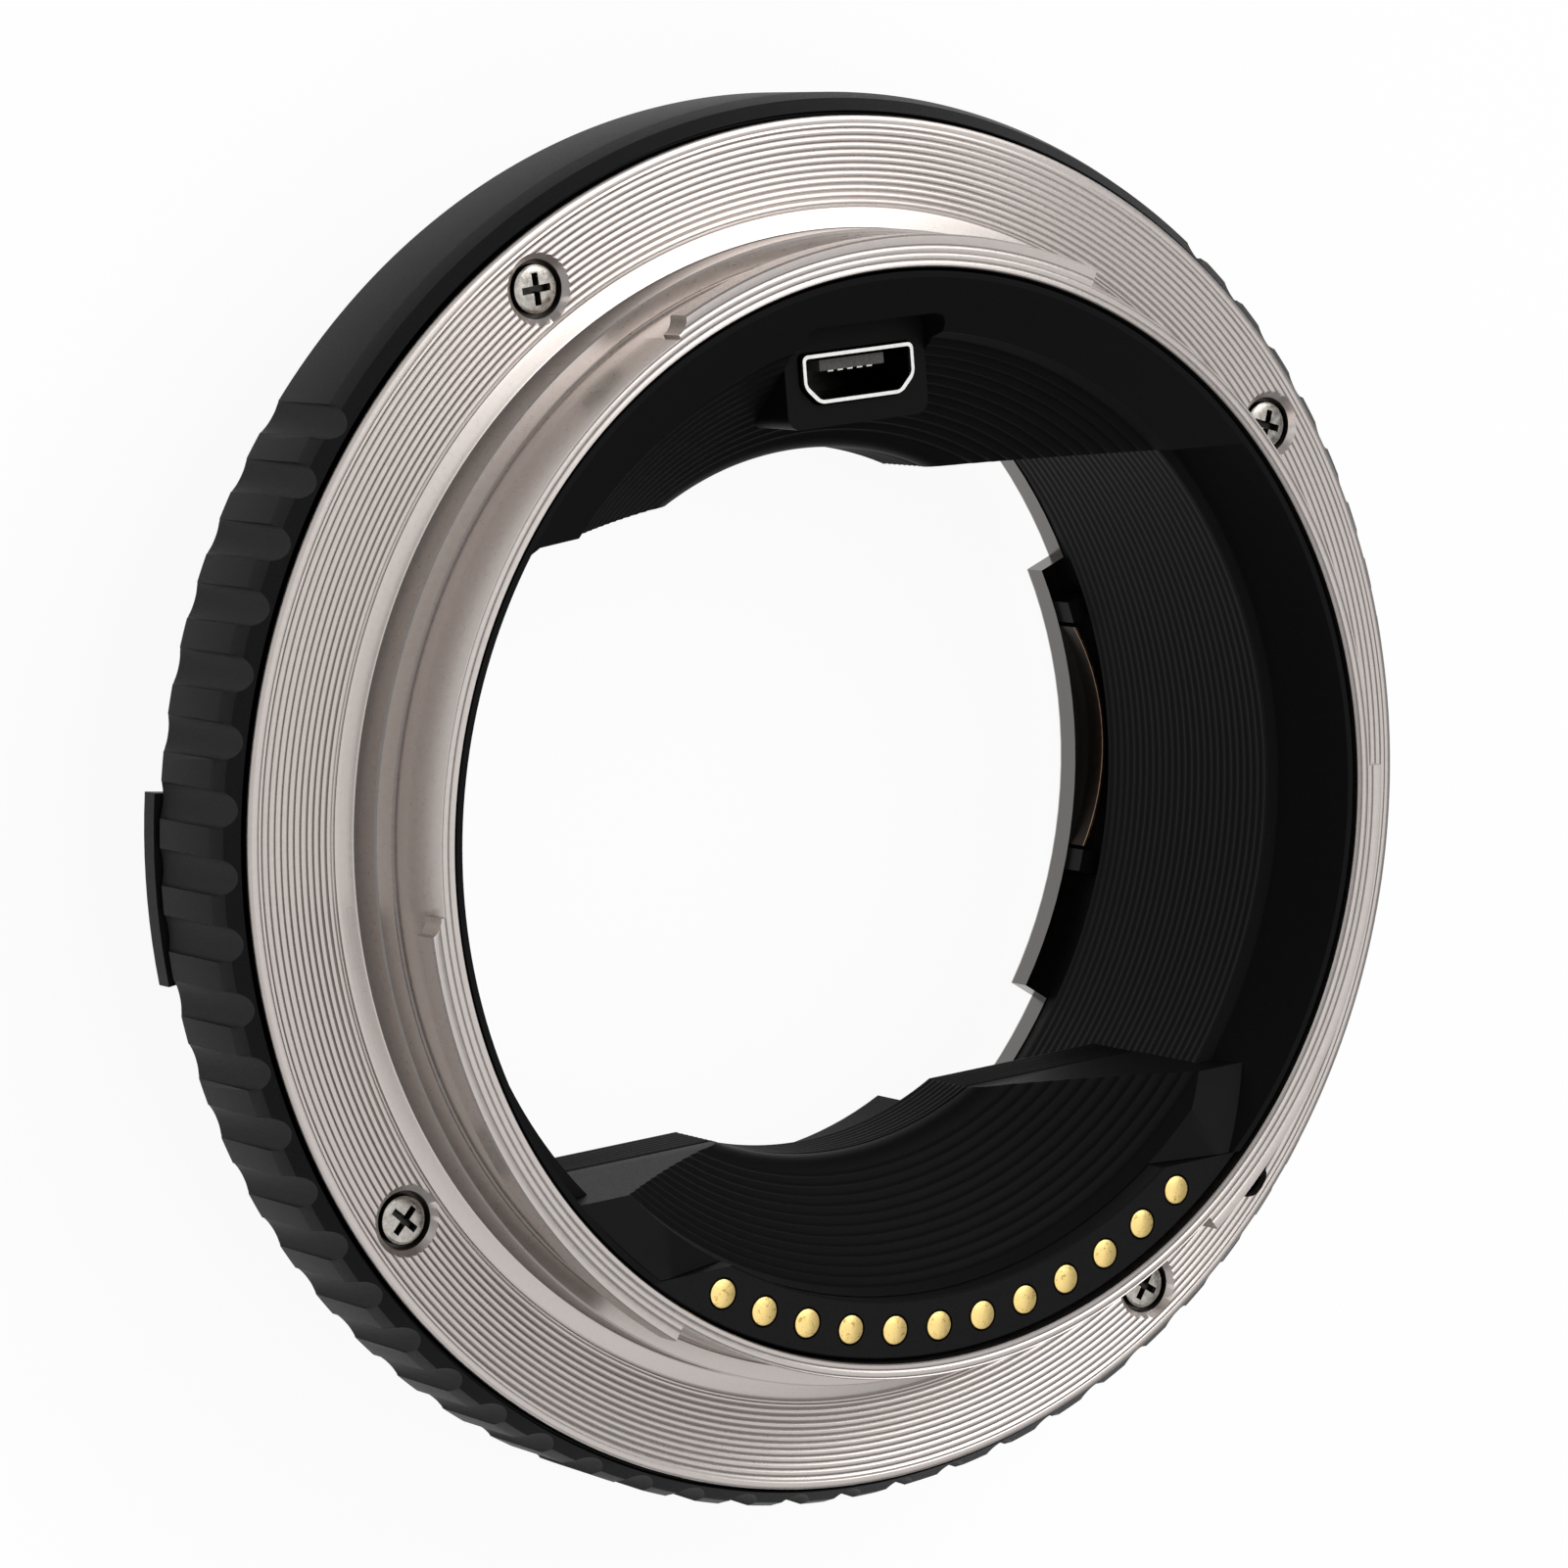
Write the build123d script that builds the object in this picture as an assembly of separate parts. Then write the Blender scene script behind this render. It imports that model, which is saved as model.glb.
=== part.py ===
from build123d import *
import os
from math import atan, cos, degrees, radians, sin

os.makedirs("parts", exist_ok=True)

# Lens mount adapter, in millimetres. The optical axis is Z. Z = 0 is the face the lens seats on
# and the camera side is up. +Y is the side with the USB port, -Y the side with the contacts.

# Flange to flange: 44.0 of flange depth for the lens, less 26.7 for the camera.
HEIGHT = 17.3

RUN = 0.05                 # radial clearance of anything that slides or turns
SLIP = 0.15                # clearance of fixed pieces dropped into each other

# Lens side bayonet. All radii step outward from its throat.
THROAT_R = 27.0
THROAT_CUT = 1.8
LENS_MOUNT_W = 5.5
THROAT_CUT_R = THROAT_R + THROAT_CUT
LENS_MOUNT_R = THROAT_R + LENS_MOUNT_W
LENS_PLATE_T = 1.5
LENS_LOBES = [(-35.4, 20.0), (84.6, 140.0), (204.6, 260.0)]
LENS_SCREW_PCD_R = THROAT_R + 3.7
LENS_SCREW_ANGLES = [45.0, 135.0, 225.0, 315.0]
lens_head_r = 1.5
lens_head_t = 0.8
lens_head_in = 0.05

# Camera side bayonet: register step, neck and lobes, then the flange.
REGISTER_OUT = 5.45
REGISTER_R = THROAT_R + REGISTER_OUT
REGISTER_H = 2.23
NECK_IN = 1.15
NECK_R = REGISTER_R - NECK_IN
NECK_WALL = 0.88
MOUNT_BORE_R = NECK_R - NECK_WALL
BAYONET_H = 7.16
LOBE_OUT = 0.9
LOBE_R = NECK_R + LOBE_OUT
LOBE_T = 1.6
LOBES = [(64.0, 116.0), (181.0, 233.5), (304.0, 357.0)]
FLANGE_W = 6.25
FLANGE_R = REGISTER_R + FLANGE_W
PLATE_T = 1.4
GROOVE_COUNT = 13
GROOVE_DEPTH = 0.14
LOCK_HOLE_R = 1.3
LOCK_HOLE_AT = (FLANGE_R - 2.0, -45.0)

# Screws that hold the camera bayonet.
SCREW_PCD_R = FLANGE_R - 2.8
SCREW_ANGLES = [30.0, 120.0, 210.0, 300.0]
SCREW_HEAD_R = 1.38
SCREW_HEAD_T = 0.65
SCREW_R = 0.8
SCREW_RECESS = 0.3

# Control ring with its scalloped grip.
RING_PROUD = 1.3
RING_R = FLANGE_R + RING_PROUD
RING_TOP = HEIGHT - 0.65
RING_H = 7.25
RING_BEVEL_R = 0.7
RING_BEVEL_H = 1.45
RING_TRAVEL = 72.0
FLUTE_R = 1.14
FLUTE_DEPTH = 0.55
FLUTE_PITCH = 5.0
FLUTE_COUNT = 54
FLUTE_FIRST = 142.7
HUB_IN = 2.25
HUB_R = RING_R - HUB_IN
ring_bottom = RING_TOP - RING_H

# Retainer under the bayonet plate, and the two halves of the body.
RETAINER_T = 0.8
RIM_W = 0.4
CORE_FLANGE_T = 1.45
SPLIT_Z = ring_bottom - RUN - CORE_FLANGE_T
CORE_FLANGE_R = RING_R - 1.7
REAR_TOP_R = CORE_FLANGE_R - 0.4
REAR_R = LENS_MOUNT_R + 1.1
REAR_Z = 0.25
BORE_R = THROAT_R + 1.9
lens_screw_end = SPLIT_Z - 2.5

# Light baffle.
LINER_RIM_R = MOUNT_BORE_R - 0.22
LINER_TOP = HEIGHT + 6.9
LINER_WALL = 1.2
WALL_R = BORE_R - LINER_WALL
WALL_TOP = HEIGHT + 2.3
LINER_FOOT = LENS_PLATE_T + 2.5
MASK_W = 7.6
MASK_R = WALL_R - MASK_W
MASK_BOTTOM = HEIGHT - 7.6
MASK_TOP = HEIGHT - 2.9
RIM_LAND = 3.6
TERRACE_R = LINER_RIM_R - RIM_LAND
TERRACE_TOP = HEIGHT + 4.3
TERRACES = 10
SLOT_Y = MASK_R - 2.05
SLOT_TOP_Y = SLOT_Y + 4.45

# Contacts toward the camera.
CONTACT_FACE = HEIGHT + 6.65
CONTACT_R = LINER_RIM_R - 1.6
CONTACT_COUNT = 12
CONTACT_PITCH = 6.0
CONTACT_PAD_R = 0.82
CONTACT_SIDE = 270.0

# USB port.
USB_W = 7.4
USB_H = 2.75
USB_WALL = 0.28
USB_Y = LINER_RIM_R - 5.6
USB_FACE = HEIGHT + 3.65
USB_DECK = HEIGHT + 3.3
USB_BOARD_Z = HEIGHT - 2.5
BOARD_T = 0.8

# Lens lock pin and the lever that draws it in.
PIN_R = 1.1
PIN_AT = (THROAT_R + 3.7, 180.0)
PIN_OUT = 1.2
PIN_TRAVEL = 1.4
COLLAR_R = 1.45
STEM_R = 0.7
pin_head_r = 1.3
pin_head_t = 0.8
LEVER_TRAVEL = 6.0
LEVER_T = 1.1
LEVER_PAD_R = RING_R + 0.1
LEVER_PAD = (171.3, 186.5)

# Sprung contacts toward the lens.
LENS_PIN_COUNT = 8
LENS_PIN_PITCH = 4.6
LENS_PIN_CIRCLE = THROAT_R - 2.4
LENS_PIN_R = 0.6
LENS_PIN_OUT = 1.5
LENS_PIN_TRAVEL = 1.2
LENS_BLOCK_Z = LINER_FOOT + 0.3


def lathe(points, turn=360.0, start=0.0):
    face = make_face(Plane.XZ * Polyline(*points, close=True))
    return Rot(0, 0, start) * revolve(face, Axis.Z, turn)


def tube(r_in, r_out, z0, z1):
    return lathe([(r_in, z0), (r_out, z0), (r_out, z1), (r_in, z1)])


def sector(r_in, r_out, z0, z1, a0, a1):
    return lathe([(r_in, z0), (r_out, z0), (r_out, z1), (r_in, z1)], a1 - a0, a0)


def rod(r, z0, z1, at=(0.0, 0.0)):
    return Rot(0, 0, at[1]) * Pos(at[0], 0, (z0 + z1) / 2) * Cylinder(r, z1 - z0)


def block(x0, x1, y0, y1, z0, z1):
    return Pos((x0 + x1) / 2, (y0 + y1) / 2, (z0 + z1) / 2) * Box(x1 - x0, y1 - y0, z1 - z0)


def save(node, *solids):
    made = [s for item in solids for s in item.solids()]
    shape = made[0] if len(made) == 1 else Compound(made)
    export_step(shape, "parts/" + node + ".step")


# Camera bayonet: flange with fine concentric grooves, register step, neck and three lobes.
plate_back = HEIGHT - PLATE_T
bayonet_top = HEIGHT + BAYONET_H
register_top = HEIGHT + REGISTER_H
edge = 0.2
register_edge = 0.3
groove_start = REGISTER_R + 0.95
land_start = FLANGE_R - edge - 0.1
groove_pitch = (land_start - groove_start) / GROOVE_COUNT

profile = [(MOUNT_BORE_R, plate_back), (FLANGE_R, plate_back), (FLANGE_R, HEIGHT - edge),
           (FLANGE_R - edge, HEIGHT), (land_start, HEIGHT)]
for i in range(GROOVE_COUNT, 0, -1):
    profile.append((groove_start + groove_pitch * (i - 0.5), HEIGHT - GROOVE_DEPTH))
    profile.append((groove_start + groove_pitch * (i - 1), HEIGHT))
profile += [(REGISTER_R, HEIGHT), (REGISTER_R, register_top - register_edge),
            (REGISTER_R - register_edge, register_top), (NECK_R, register_top),
            (NECK_R, bayonet_top), (MOUNT_BORE_R, bayonet_top)]
camera_mount = lathe(profile)
notch_r = 0.95
for a0, a1 in LOBES:
    camera_mount += sector(NECK_R - 0.3, LOBE_R, bayonet_top - LOBE_T, bayonet_top, a0, a1)
for a in (LOBES[0][1], LOBES[1][0]):
    camera_mount -= rod(notch_r, bayonet_top - LOBE_T, bayonet_top + 1, (LOBE_R + 0.25, a))
rim_groove = 0.1
for r in (MOUNT_BORE_R + 0.35, NECK_R - 0.15):
    camera_mount -= lathe([(r - rim_groove, bayonet_top), (r, bayonet_top - rim_groove),
                           (r + rim_groove, bayonet_top)])
for a in SCREW_ANGLES:
    at = (SCREW_PCD_R, a)
    camera_mount -= rod(SCREW_HEAD_R + SLIP, HEIGHT - SCREW_RECESS - SCREW_HEAD_T, HEIGHT + 1, at)
    camera_mount -= rod(SCREW_R + SLIP, plate_back - 1, HEIGHT, at)
camera_mount -= rod(LOCK_HOLE_R, plate_back - 1, HEIGHT + 1, LOCK_HOLE_AT)
save("camera_mount", camera_mount)

# Bayonet screws: pan heads with a cross recess.
head_bottom = HEIGHT - SCREW_RECESS - SCREW_HEAD_T
head_top = HEIGHT - SCREW_RECESS
cross_l = 1.5
cross_w = 0.36
cross_turn = 20.0
FLEX_T = 0.15
board_top = USB_BOARD_Z - FLEX_T
board_bottom = board_top - BOARD_T
trough_floor = board_bottom - 1.25
screw_end = trough_floor - 1.2
screws = []
for a in SCREW_ANGLES:
    at = (SCREW_PCD_R, a)
    screw = rod(SCREW_HEAD_R, head_bottom, head_top, at) + rod(SCREW_R, screw_end, head_bottom, at)
    cross = Box(cross_l, cross_w, SCREW_HEAD_T) + Box(cross_w, cross_l, SCREW_HEAD_T)
    screws.append(screw - Rot(0, 0, a) * Pos(SCREW_PCD_R, 0, head_top) * Rot(0, 0, cross_turn) * cross)
save("camera_mount_screws", *screws)

# Retainer: thin plate under the bayonet. Its rim frames the flange and keeps the control ring in,
# and its inner edge clamps the flange of the baffle.
retainer_bottom = plate_back - RETAINER_T
rim_r = FLANGE_R + RUN + RIM_W
liner_flange_t = 0.4
liner_flange_r = LINER_RIM_R + 1.0
retainer = lathe([(liner_flange_r + SLIP, retainer_bottom), (rim_r, retainer_bottom),
                  (rim_r, RING_TOP), (FLANGE_R + RUN, RING_TOP), (FLANGE_R + RUN, plate_back),
                  (MOUNT_BORE_R + RUN, plate_back), (MOUNT_BORE_R + RUN, retainer_bottom + liner_flange_t),
                  (liner_flange_r + SLIP, retainer_bottom + liner_flange_t)])
for a in SCREW_ANGLES:
    retainer -= rod(SCREW_R + SLIP, retainer_bottom - 1, plate_back + 1, (SCREW_PCD_R, a))
save("ring_retainer", retainer)

# Control ring: turns on the hub of the core; scallops leave a smooth stretch at the top.
ring_bore = HUB_R + RUN
ring_mouth = rim_r + RUN
shoulder = retainer_bottom - RUN
ring_edge = 0.15
control_ring = lathe([(ring_bore, ring_bottom), (RING_R - ring_edge, ring_bottom),
                      (RING_R, ring_bottom + ring_edge),
                      (RING_R, RING_TOP - RING_BEVEL_H), (RING_R - RING_BEVEL_R, RING_TOP),
                      (ring_mouth, RING_TOP), (ring_mouth, shoulder), (ring_bore, shoulder)])
flute_centre = RING_R - FLUTE_DEPTH + FLUTE_R
flutes = [rod(FLUTE_R, ring_bottom - 1, RING_TOP + 1, (flute_centre, FLUTE_FIRST + FLUTE_PITCH * i))
          for i in range(FLUTE_COUNT)]
control_ring -= flutes
stop_angle = 270.0
stop_r = 0.6
stop_z = ring_bottom + 3.1
stop_end_r = HUB_R + 1.05
trough_in = BORE_R + 2.5
trough_out = HUB_R - 1.15
stop_root_r = trough_out + 0.1
groove_half = degrees((stop_r + RUN) / HUB_R)
control_ring -= sector(HUB_R - 0.5, stop_end_r + SLIP, stop_z - stop_r - RUN, stop_z + stop_r + RUN,
                       stop_angle - RING_TRAVEL - groove_half, stop_angle + groove_half)
save("control_ring", control_ring)

# Stop pin: a short radial pin in the hub that runs in the groove of the control ring.
stop_pin = (Rot(0, 0, stop_angle) * Pos((stop_end_r + stop_root_r) / 2, 0, stop_z) * Rot(0, 90, 0)
            * Cylinder(stop_r, stop_end_r - stop_root_r))
save("ring_stop_pin", stop_pin)

# Core: hub for the control ring, with a trough for the main board in its top face.
core_top = retainer_bottom
core_flange_top = ring_bottom - RUN
ledge = 0.5
core = lathe([(BORE_R, SPLIT_Z), (CORE_FLANGE_R, SPLIT_Z), (CORE_FLANGE_R, core_flange_top),
              (HUB_R, core_flange_top), (HUB_R, core_top), (BORE_R, core_top)])
trough = tube(trough_in, trough_out, board_bottom, core_top + 1)
trough += tube(trough_in + ledge, trough_out - ledge, trough_floor, board_bottom)
boss_r = 1.9
for a in SCREW_ANGLES:
    trough -= rod(boss_r, trough_floor - 1, core_top + 2, (SCREW_PCD_R, a))
core -= trough
for a in SCREW_ANGLES:
    core -= rod(SCREW_R + RUN, screw_end - 0.3, core_top + 1, (SCREW_PCD_R, a))
core -= (Rot(0, 0, stop_angle) * Pos((HUB_R + 1 + stop_root_r) / 2, 0, stop_z) * Rot(0, 90, 0)
         * Cylinder(stop_r + 0.02, HUB_R + 1 - stop_root_r))

# Slots through the inner wall of the core for the three flat cables, and their angles and widths.
usb_flex_w = 4.0
lens_flex_w = 4.4
camera_flex_w = 6.0
camera_flex_angle = -70.0
gap = 0.3
flex_r = LINER_RIM_R - 0.35
core -= block(-usb_flex_w / 2 - gap, usb_flex_w / 2 + gap, BORE_R - 0.4, trough_in + 0.2,
              board_top - gap, core_top + 1)
core -= block(-lens_flex_w / 2 - gap, lens_flex_w / 2 + gap, -trough_in - 0.2, -BORE_R + 0.4,
              SPLIT_Z - 1, core_top + 1)
core -= Rot(0, 0, camera_flex_angle) * block(flex_r - gap, trough_in + 0.2, -camera_flex_w / 2 - gap,
                                             camera_flex_w / 2 + gap, board_top - gap, core_top + 1)

# Pocket in the underside of the core where the release lever swings, and a well for its ramp.
lever_bottom = SPLIT_Z + RUN
lever_top = lever_bottom + LEVER_T
pocket_top = lever_top + RUN
lever_half = 5.0
lever_in_r = PIN_AT[0] - 1.3
lever_a0 = PIN_AT[1] - 11.4
lever_a1 = PIN_AT[1] + 5.4
lever_neck_r = PIN_AT[0] + 2.3
lever_pad_in_r = CORE_FLANGE_R - 0.9
pocket_gap = 0.5
pocket_a0 = lever_a0 - pocket_gap
pocket_a1 = lever_a1 + pocket_gap + LEVER_TRAVEL
core -= sector(lever_in_r - 0.2, lever_neck_r + 0.2, SPLIT_Z - 1, pocket_top, pocket_a0, pocket_a1)
core -= sector(lever_neck_r - 0.2, CORE_FLANGE_R + 1, SPLIT_Z - 1, pocket_top,
               PIN_AT[1] - lever_half - pocket_gap, PIN_AT[1] + lever_half + LEVER_TRAVEL + pocket_gap)
core -= sector(lever_pad_in_r - 0.15, CORE_FLANGE_R + 1, SPLIT_Z - 1, pocket_top,
               LEVER_PAD[0] - pocket_gap, LEVER_PAD[1] + LEVER_TRAVEL + pocket_gap)
well_top = lever_top + PIN_TRAVEL + pin_head_t + 0.6
core -= sector(lever_in_r - 0.2, lever_neck_r - 0.3, SPLIT_Z, well_top, pocket_a0, lever_a1)
body_screw_angles = [0.0, 105.0, 255.0]
body_screw_pcd = THROAT_R + 4.4
body_screw_end = trough_floor - 1.0
for a in body_screw_angles:
    core -= rod(SCREW_R + RUN, SPLIT_Z - 1, body_screw_end + 0.2, (body_screw_pcd, a))
save("core_body", core)

# Rear housing: cone that narrows from the control ring down to the lens bayonet.
seat_z = LENS_PLATE_T
rear = lathe([(LENS_MOUNT_R + RUN, REAR_Z), (REAR_R - 0.3, REAR_Z), (REAR_R, REAR_Z + 0.3),
              (REAR_TOP_R, SPLIT_Z - 0.3), (REAR_TOP_R, SPLIT_Z), (BORE_R, SPLIT_Z),
              (BORE_R, seat_z), (LENS_MOUNT_R + RUN, seat_z)])
spring_well_top = SPLIT_Z - 1.5
body_head_r = 1.4
body_head_t = 1.1
rear -= rod(COLLAR_R + RUN, seat_z - 0.5, spring_well_top, PIN_AT)
rear -= rod(STEM_R + RUN, spring_well_top - 0.5, SPLIT_Z + 1, PIN_AT)
for a in LENS_SCREW_ANGLES:
    rear -= rod(SCREW_R + RUN, seat_z - 0.5, lens_screw_end + 0.2, (LENS_SCREW_PCD_R, a))
for a in body_screw_angles:
    rear -= rod(body_head_r + RUN, seat_z - 0.5, seat_z + body_head_t + 0.05, (body_screw_pcd, a))
    rear -= rod(SCREW_R + SLIP, seat_z, SPLIT_Z + 1, (body_screw_pcd, a))
rear -= block(-lens_flex_w / 2 - gap, lens_flex_w / 2 + gap, -BORE_R - 1.0, -BORE_R + 0.4,
              LENS_BLOCK_Z + 0.6, SPLIT_Z + 1)
mark_r = 1.1
mark_z = (REAR_Z + SPLIT_Z) / 2
cone_run = REAR_TOP_R - REAR_R
cone_rise = SPLIT_Z - 0.3 - REAR_Z - 0.3
mark_surface = REAR_R + (mark_z - REAR_Z - 0.3) * cone_run / cone_rise
cone_tilt = degrees(atan(cone_run / cone_rise))
mark_t = 0.8
mark_place = Pos(0, mark_surface, mark_z) * Rot(-90 - cone_tilt, 0, 0)
rear -= mark_place * Cylinder(mark_r + RUN, mark_t)
save("rear_housing", rear)
save("lens_index_mark", mark_place * Cylinder(mark_r, mark_t))

# Body screws: join the rear housing to the core from under the lens bayonet.
body_screws = []
for a in body_screw_angles:
    at = (body_screw_pcd, a)
    body_screws.append(rod(body_head_r, seat_z + 0.05, seat_z + body_head_t, at)
                       + rod(SCREW_R, seat_z + body_head_t, body_screw_end, at))
save("body_screws", *body_screws)

# Baffle: a rim in the camera bayonet, open ribbed walls left and right, and a terraced
# funnel above and below the picture window.
step_r = (TERRACE_R - MASK_R) / TERRACES
step_z = (TERRACE_TOP - MASK_TOP) / TERRACES
funnel = [(0, MASK_BOTTOM - 6), (TERRACE_R - 1.2, MASK_BOTTOM - 6), (TERRACE_R - 1.2, LINER_FOOT + 0.6),
          (MASK_R, MASK_BOTTOM), (MASK_R, MASK_TOP)]
for i in range(TERRACES):
    funnel.append((MASK_R + step_r * (i + 1), MASK_TOP + step_z * i))
    funnel.append((MASK_R + step_r * (i + 1), MASK_TOP + step_z * (i + 1)))
funnel += [(TERRACE_R + 0.3, CONTACT_FACE - 1.4), (LINER_RIM_R - 0.35, LINER_TOP),
           (LINER_RIM_R - 0.35, LINER_TOP + 1), (0, LINER_TOP + 1)]
side_wall = [(0, LINER_FOOT - 1), (WALL_R, LINER_FOOT - 1), (WALL_R, WALL_TOP), (WALL_R + 0.3, WALL_TOP),
             (LINER_RIM_R - 0.35, LINER_TOP), (LINER_RIM_R - 0.35, LINER_TOP + 1), (0, LINER_TOP + 1)]
slot_outline = [(-SLOT_Y, LINER_FOOT - 2), (-SLOT_Y, TERRACE_TOP), (-SLOT_TOP_Y, CONTACT_FACE),
                (-SLOT_TOP_Y, LINER_TOP + 2), (SLOT_Y, LINER_TOP + 2), (SLOT_Y, LINER_FOOT - 2)]
slot = extrude(make_face(Plane.YZ * Polyline(*slot_outline, close=True)), LINER_RIM_R + 2, both=True)
liner = lathe([(0, LINER_FOOT), (BORE_R - SLIP, LINER_FOOT), (BORE_R - SLIP, core_top),
               (liner_flange_r, core_top), (liner_flange_r, core_top + liner_flange_t),
               (LINER_RIM_R, core_top + liner_flange_t), (LINER_RIM_R, LINER_TOP), (0, LINER_TOP)])
liner -= lathe(funnel)
liner -= lathe(side_wall) & slot

# Seats cut into the baffle for the contact block, the USB port, its board and the flat cables.
contact_seat = CONTACT_FACE - 2.35
contact_in = TERRACE_R + 0.3
contact_room = sector(contact_in, LINER_RIM_R + 1, contact_seat, LINER_TOP + 1,
                      CONTACT_SIDE - 90, CONTACT_SIDE + 90)
liner -= contact_room & block(-RING_R, RING_R, -RING_R, -SLOT_TOP_Y, 0, bayonet_top)
deck_w = 9.4
deck_y0 = USB_Y - 2.7
deck_y1 = USB_Y + 3.0
deck_corner = 0.8
deck_post = block(-deck_w / 2, deck_w / 2, deck_y0, deck_y1, MASK_TOP, USB_DECK)
liner += fillet(deck_post.edges().filter_by(Axis.Z), deck_corner)
deck_cut = block(-deck_w / 2, deck_w / 2, deck_y0, deck_y1, USB_DECK, LINER_TOP + 1)
liner -= fillet(deck_cut.edges().filter_by(Axis.Z), deck_corner)
usb_corner = 0.95


def usb_outline(inset):
    half = USB_W / 2 - inset
    top = USB_H / 2 - inset
    cut = usb_corner - inset * 0.4
    return [(-half, USB_Y + top), (half, USB_Y + top), (half, USB_Y - top + cut),
            (half - cut, USB_Y - top), (-half + cut, USB_Y - top), (-half, USB_Y - top + cut)]


def usb_prism(inset, z0, z1):
    return extrude(Pos(0, 0, z0) * make_face(Polyline(*usb_outline(inset), close=True)), z1 - z0)


liner -= usb_prism(-SLIP, USB_BOARD_Z, USB_DECK + 1)
usb_board_w = 12.0
usb_board_y0 = USB_Y - 2.3
usb_board_y1 = USB_Y + 2.7
usb_board_top = USB_BOARD_Z + BOARD_T
liner -= block(-usb_board_w / 2 - SLIP, usb_board_w / 2 + SLIP, usb_board_y0 - SLIP, usb_board_y1 + SLIP,
               LINER_FOOT - 1, usb_board_top)
liner -= block(-usb_flex_w / 2 - gap, usb_flex_w / 2 + gap, usb_board_y1 - 1, BORE_R + 1,
               board_top - gap, usb_board_top)
liner -= Rot(0, 0, camera_flex_angle) * block(flex_r - 0.1, LINER_RIM_R + 1, -camera_flex_w / 2 - gap,
                                              camera_flex_w / 2 + gap, core_top - 1, contact_seat)
lens_block_half = 24.0
liner -= sector(MASK_R - 2, LINER_RIM_R + 1, LINER_FOOT - 1, MASK_BOTTOM,
                CONTACT_SIDE - lens_block_half - 0.5, CONTACT_SIDE + lens_block_half + 0.5)
save("liner", liner)

# Contact block and the twelve contacts toward the camera.
contact_block = sector(contact_in + RUN, LINER_RIM_R, contact_seat, CONTACT_FACE,
                       CONTACT_SIDE - 90, CONTACT_SIDE + 90)
contact_block &= block(-RING_R, RING_R, -RING_R, -SLOT_TOP_Y - RUN, 0, bayonet_top)
contacts = []
pad_bottom = CONTACT_FACE - 0.5
pad_top = CONTACT_FACE + 0.06
for i in range(CONTACT_COUNT):
    at = (CONTACT_R, CONTACT_SIDE + CONTACT_PITCH * (i - (CONTACT_COUNT - 1) / 2))
    contact_block -= rod(CONTACT_PAD_R, pad_bottom, CONTACT_FACE + 1, at)
    contacts.append(rod(CONTACT_PAD_R, pad_bottom, pad_top, at))
save("camera_contact_block", contact_block)
save("camera_contacts", *contacts)

# USB port: folded steel shell, tongue and its five contacts, standing on a small board.
usb_floor = usb_board_top + 0.4
usb_shell = usb_prism(0, usb_board_top, USB_FACE) - usb_prism(USB_WALL, usb_floor, USB_FACE + 1)
tongue_y = USB_Y + 0.35
tongue_w = 4.3
tongue_t = 0.6
tongue_top = USB_FACE - 0.7
usb_tongue = block(-tongue_w / 2, tongue_w / 2, tongue_y, tongue_y + tongue_t, usb_floor, tongue_top)
usb_contacts = []
usb_pitch = 0.65
usb_pad = 0.36
for i in range(5):
    x = (i - 2) * usb_pitch
    usb_contacts.append(block(x - usb_pad / 2, x + usb_pad / 2, tongue_y - 0.1, tongue_y,
                              usb_floor + 0.2, tongue_top - 0.2))
save("usb_shell", usb_shell)
save("usb_tongue", usb_tongue)
save("usb_contacts", *usb_contacts)
save("usb_board", block(-usb_board_w / 2, usb_board_w / 2, usb_board_y0, usb_board_y1,
                        USB_BOARD_Z, usb_board_top))

# Main board and the chips on its underside.
main_board = tube(trough_in + 0.1, trough_out - 0.1, board_bottom, board_top)
for a in SCREW_ANGLES:
    main_board -= rod(boss_r + SLIP, board_bottom - 1, board_top + 1, (SCREW_PCD_R, a))
save("main_board", main_board)
chips = []
chip_t = 0.9
for a, size in ((245.0, 3.4), (285.0, 3.0), (330.0, 3.4), (75.0, 2.6), (160.0, 3.0)):
    chips.append(Rot(0, 0, a) * Pos((trough_in + trough_out) / 2, 0, board_bottom - chip_t / 2)
                 * Box(size, size, chip_t))
save("board_chips", *chips)

# Flat cables: from the USB board, the lens contacts and the camera contacts to the main board.
cable_reach = trough_in + 1.8
usb_flex = block(-usb_flex_w / 2, usb_flex_w / 2, usb_board_y0 + 1.5, cable_reach,
                 board_top, board_top + FLEX_T)
lens_flex_y = BORE_R + 0.12
lens_flex = block(-lens_flex_w / 2, lens_flex_w / 2, -lens_flex_y - FLEX_T, -lens_flex_y,
                  LENS_BLOCK_Z + 1.2, board_top + FLEX_T)
lens_flex += block(-lens_flex_w / 2, lens_flex_w / 2, -cable_reach, -lens_flex_y,
                   board_top, board_top + FLEX_T)
camera_flex = block(flex_r, flex_r + FLEX_T, -camera_flex_w / 2, camera_flex_w / 2,
                    board_top, contact_seat)
camera_flex += block(flex_r, cable_reach, -camera_flex_w / 2, camera_flex_w / 2,
                     board_top, board_top + FLEX_T)
save("usb_flex", usb_flex)
save("lens_flex", lens_flex)
save("camera_flex", Rot(0, 0, camera_flex_angle) * camera_flex)

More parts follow.
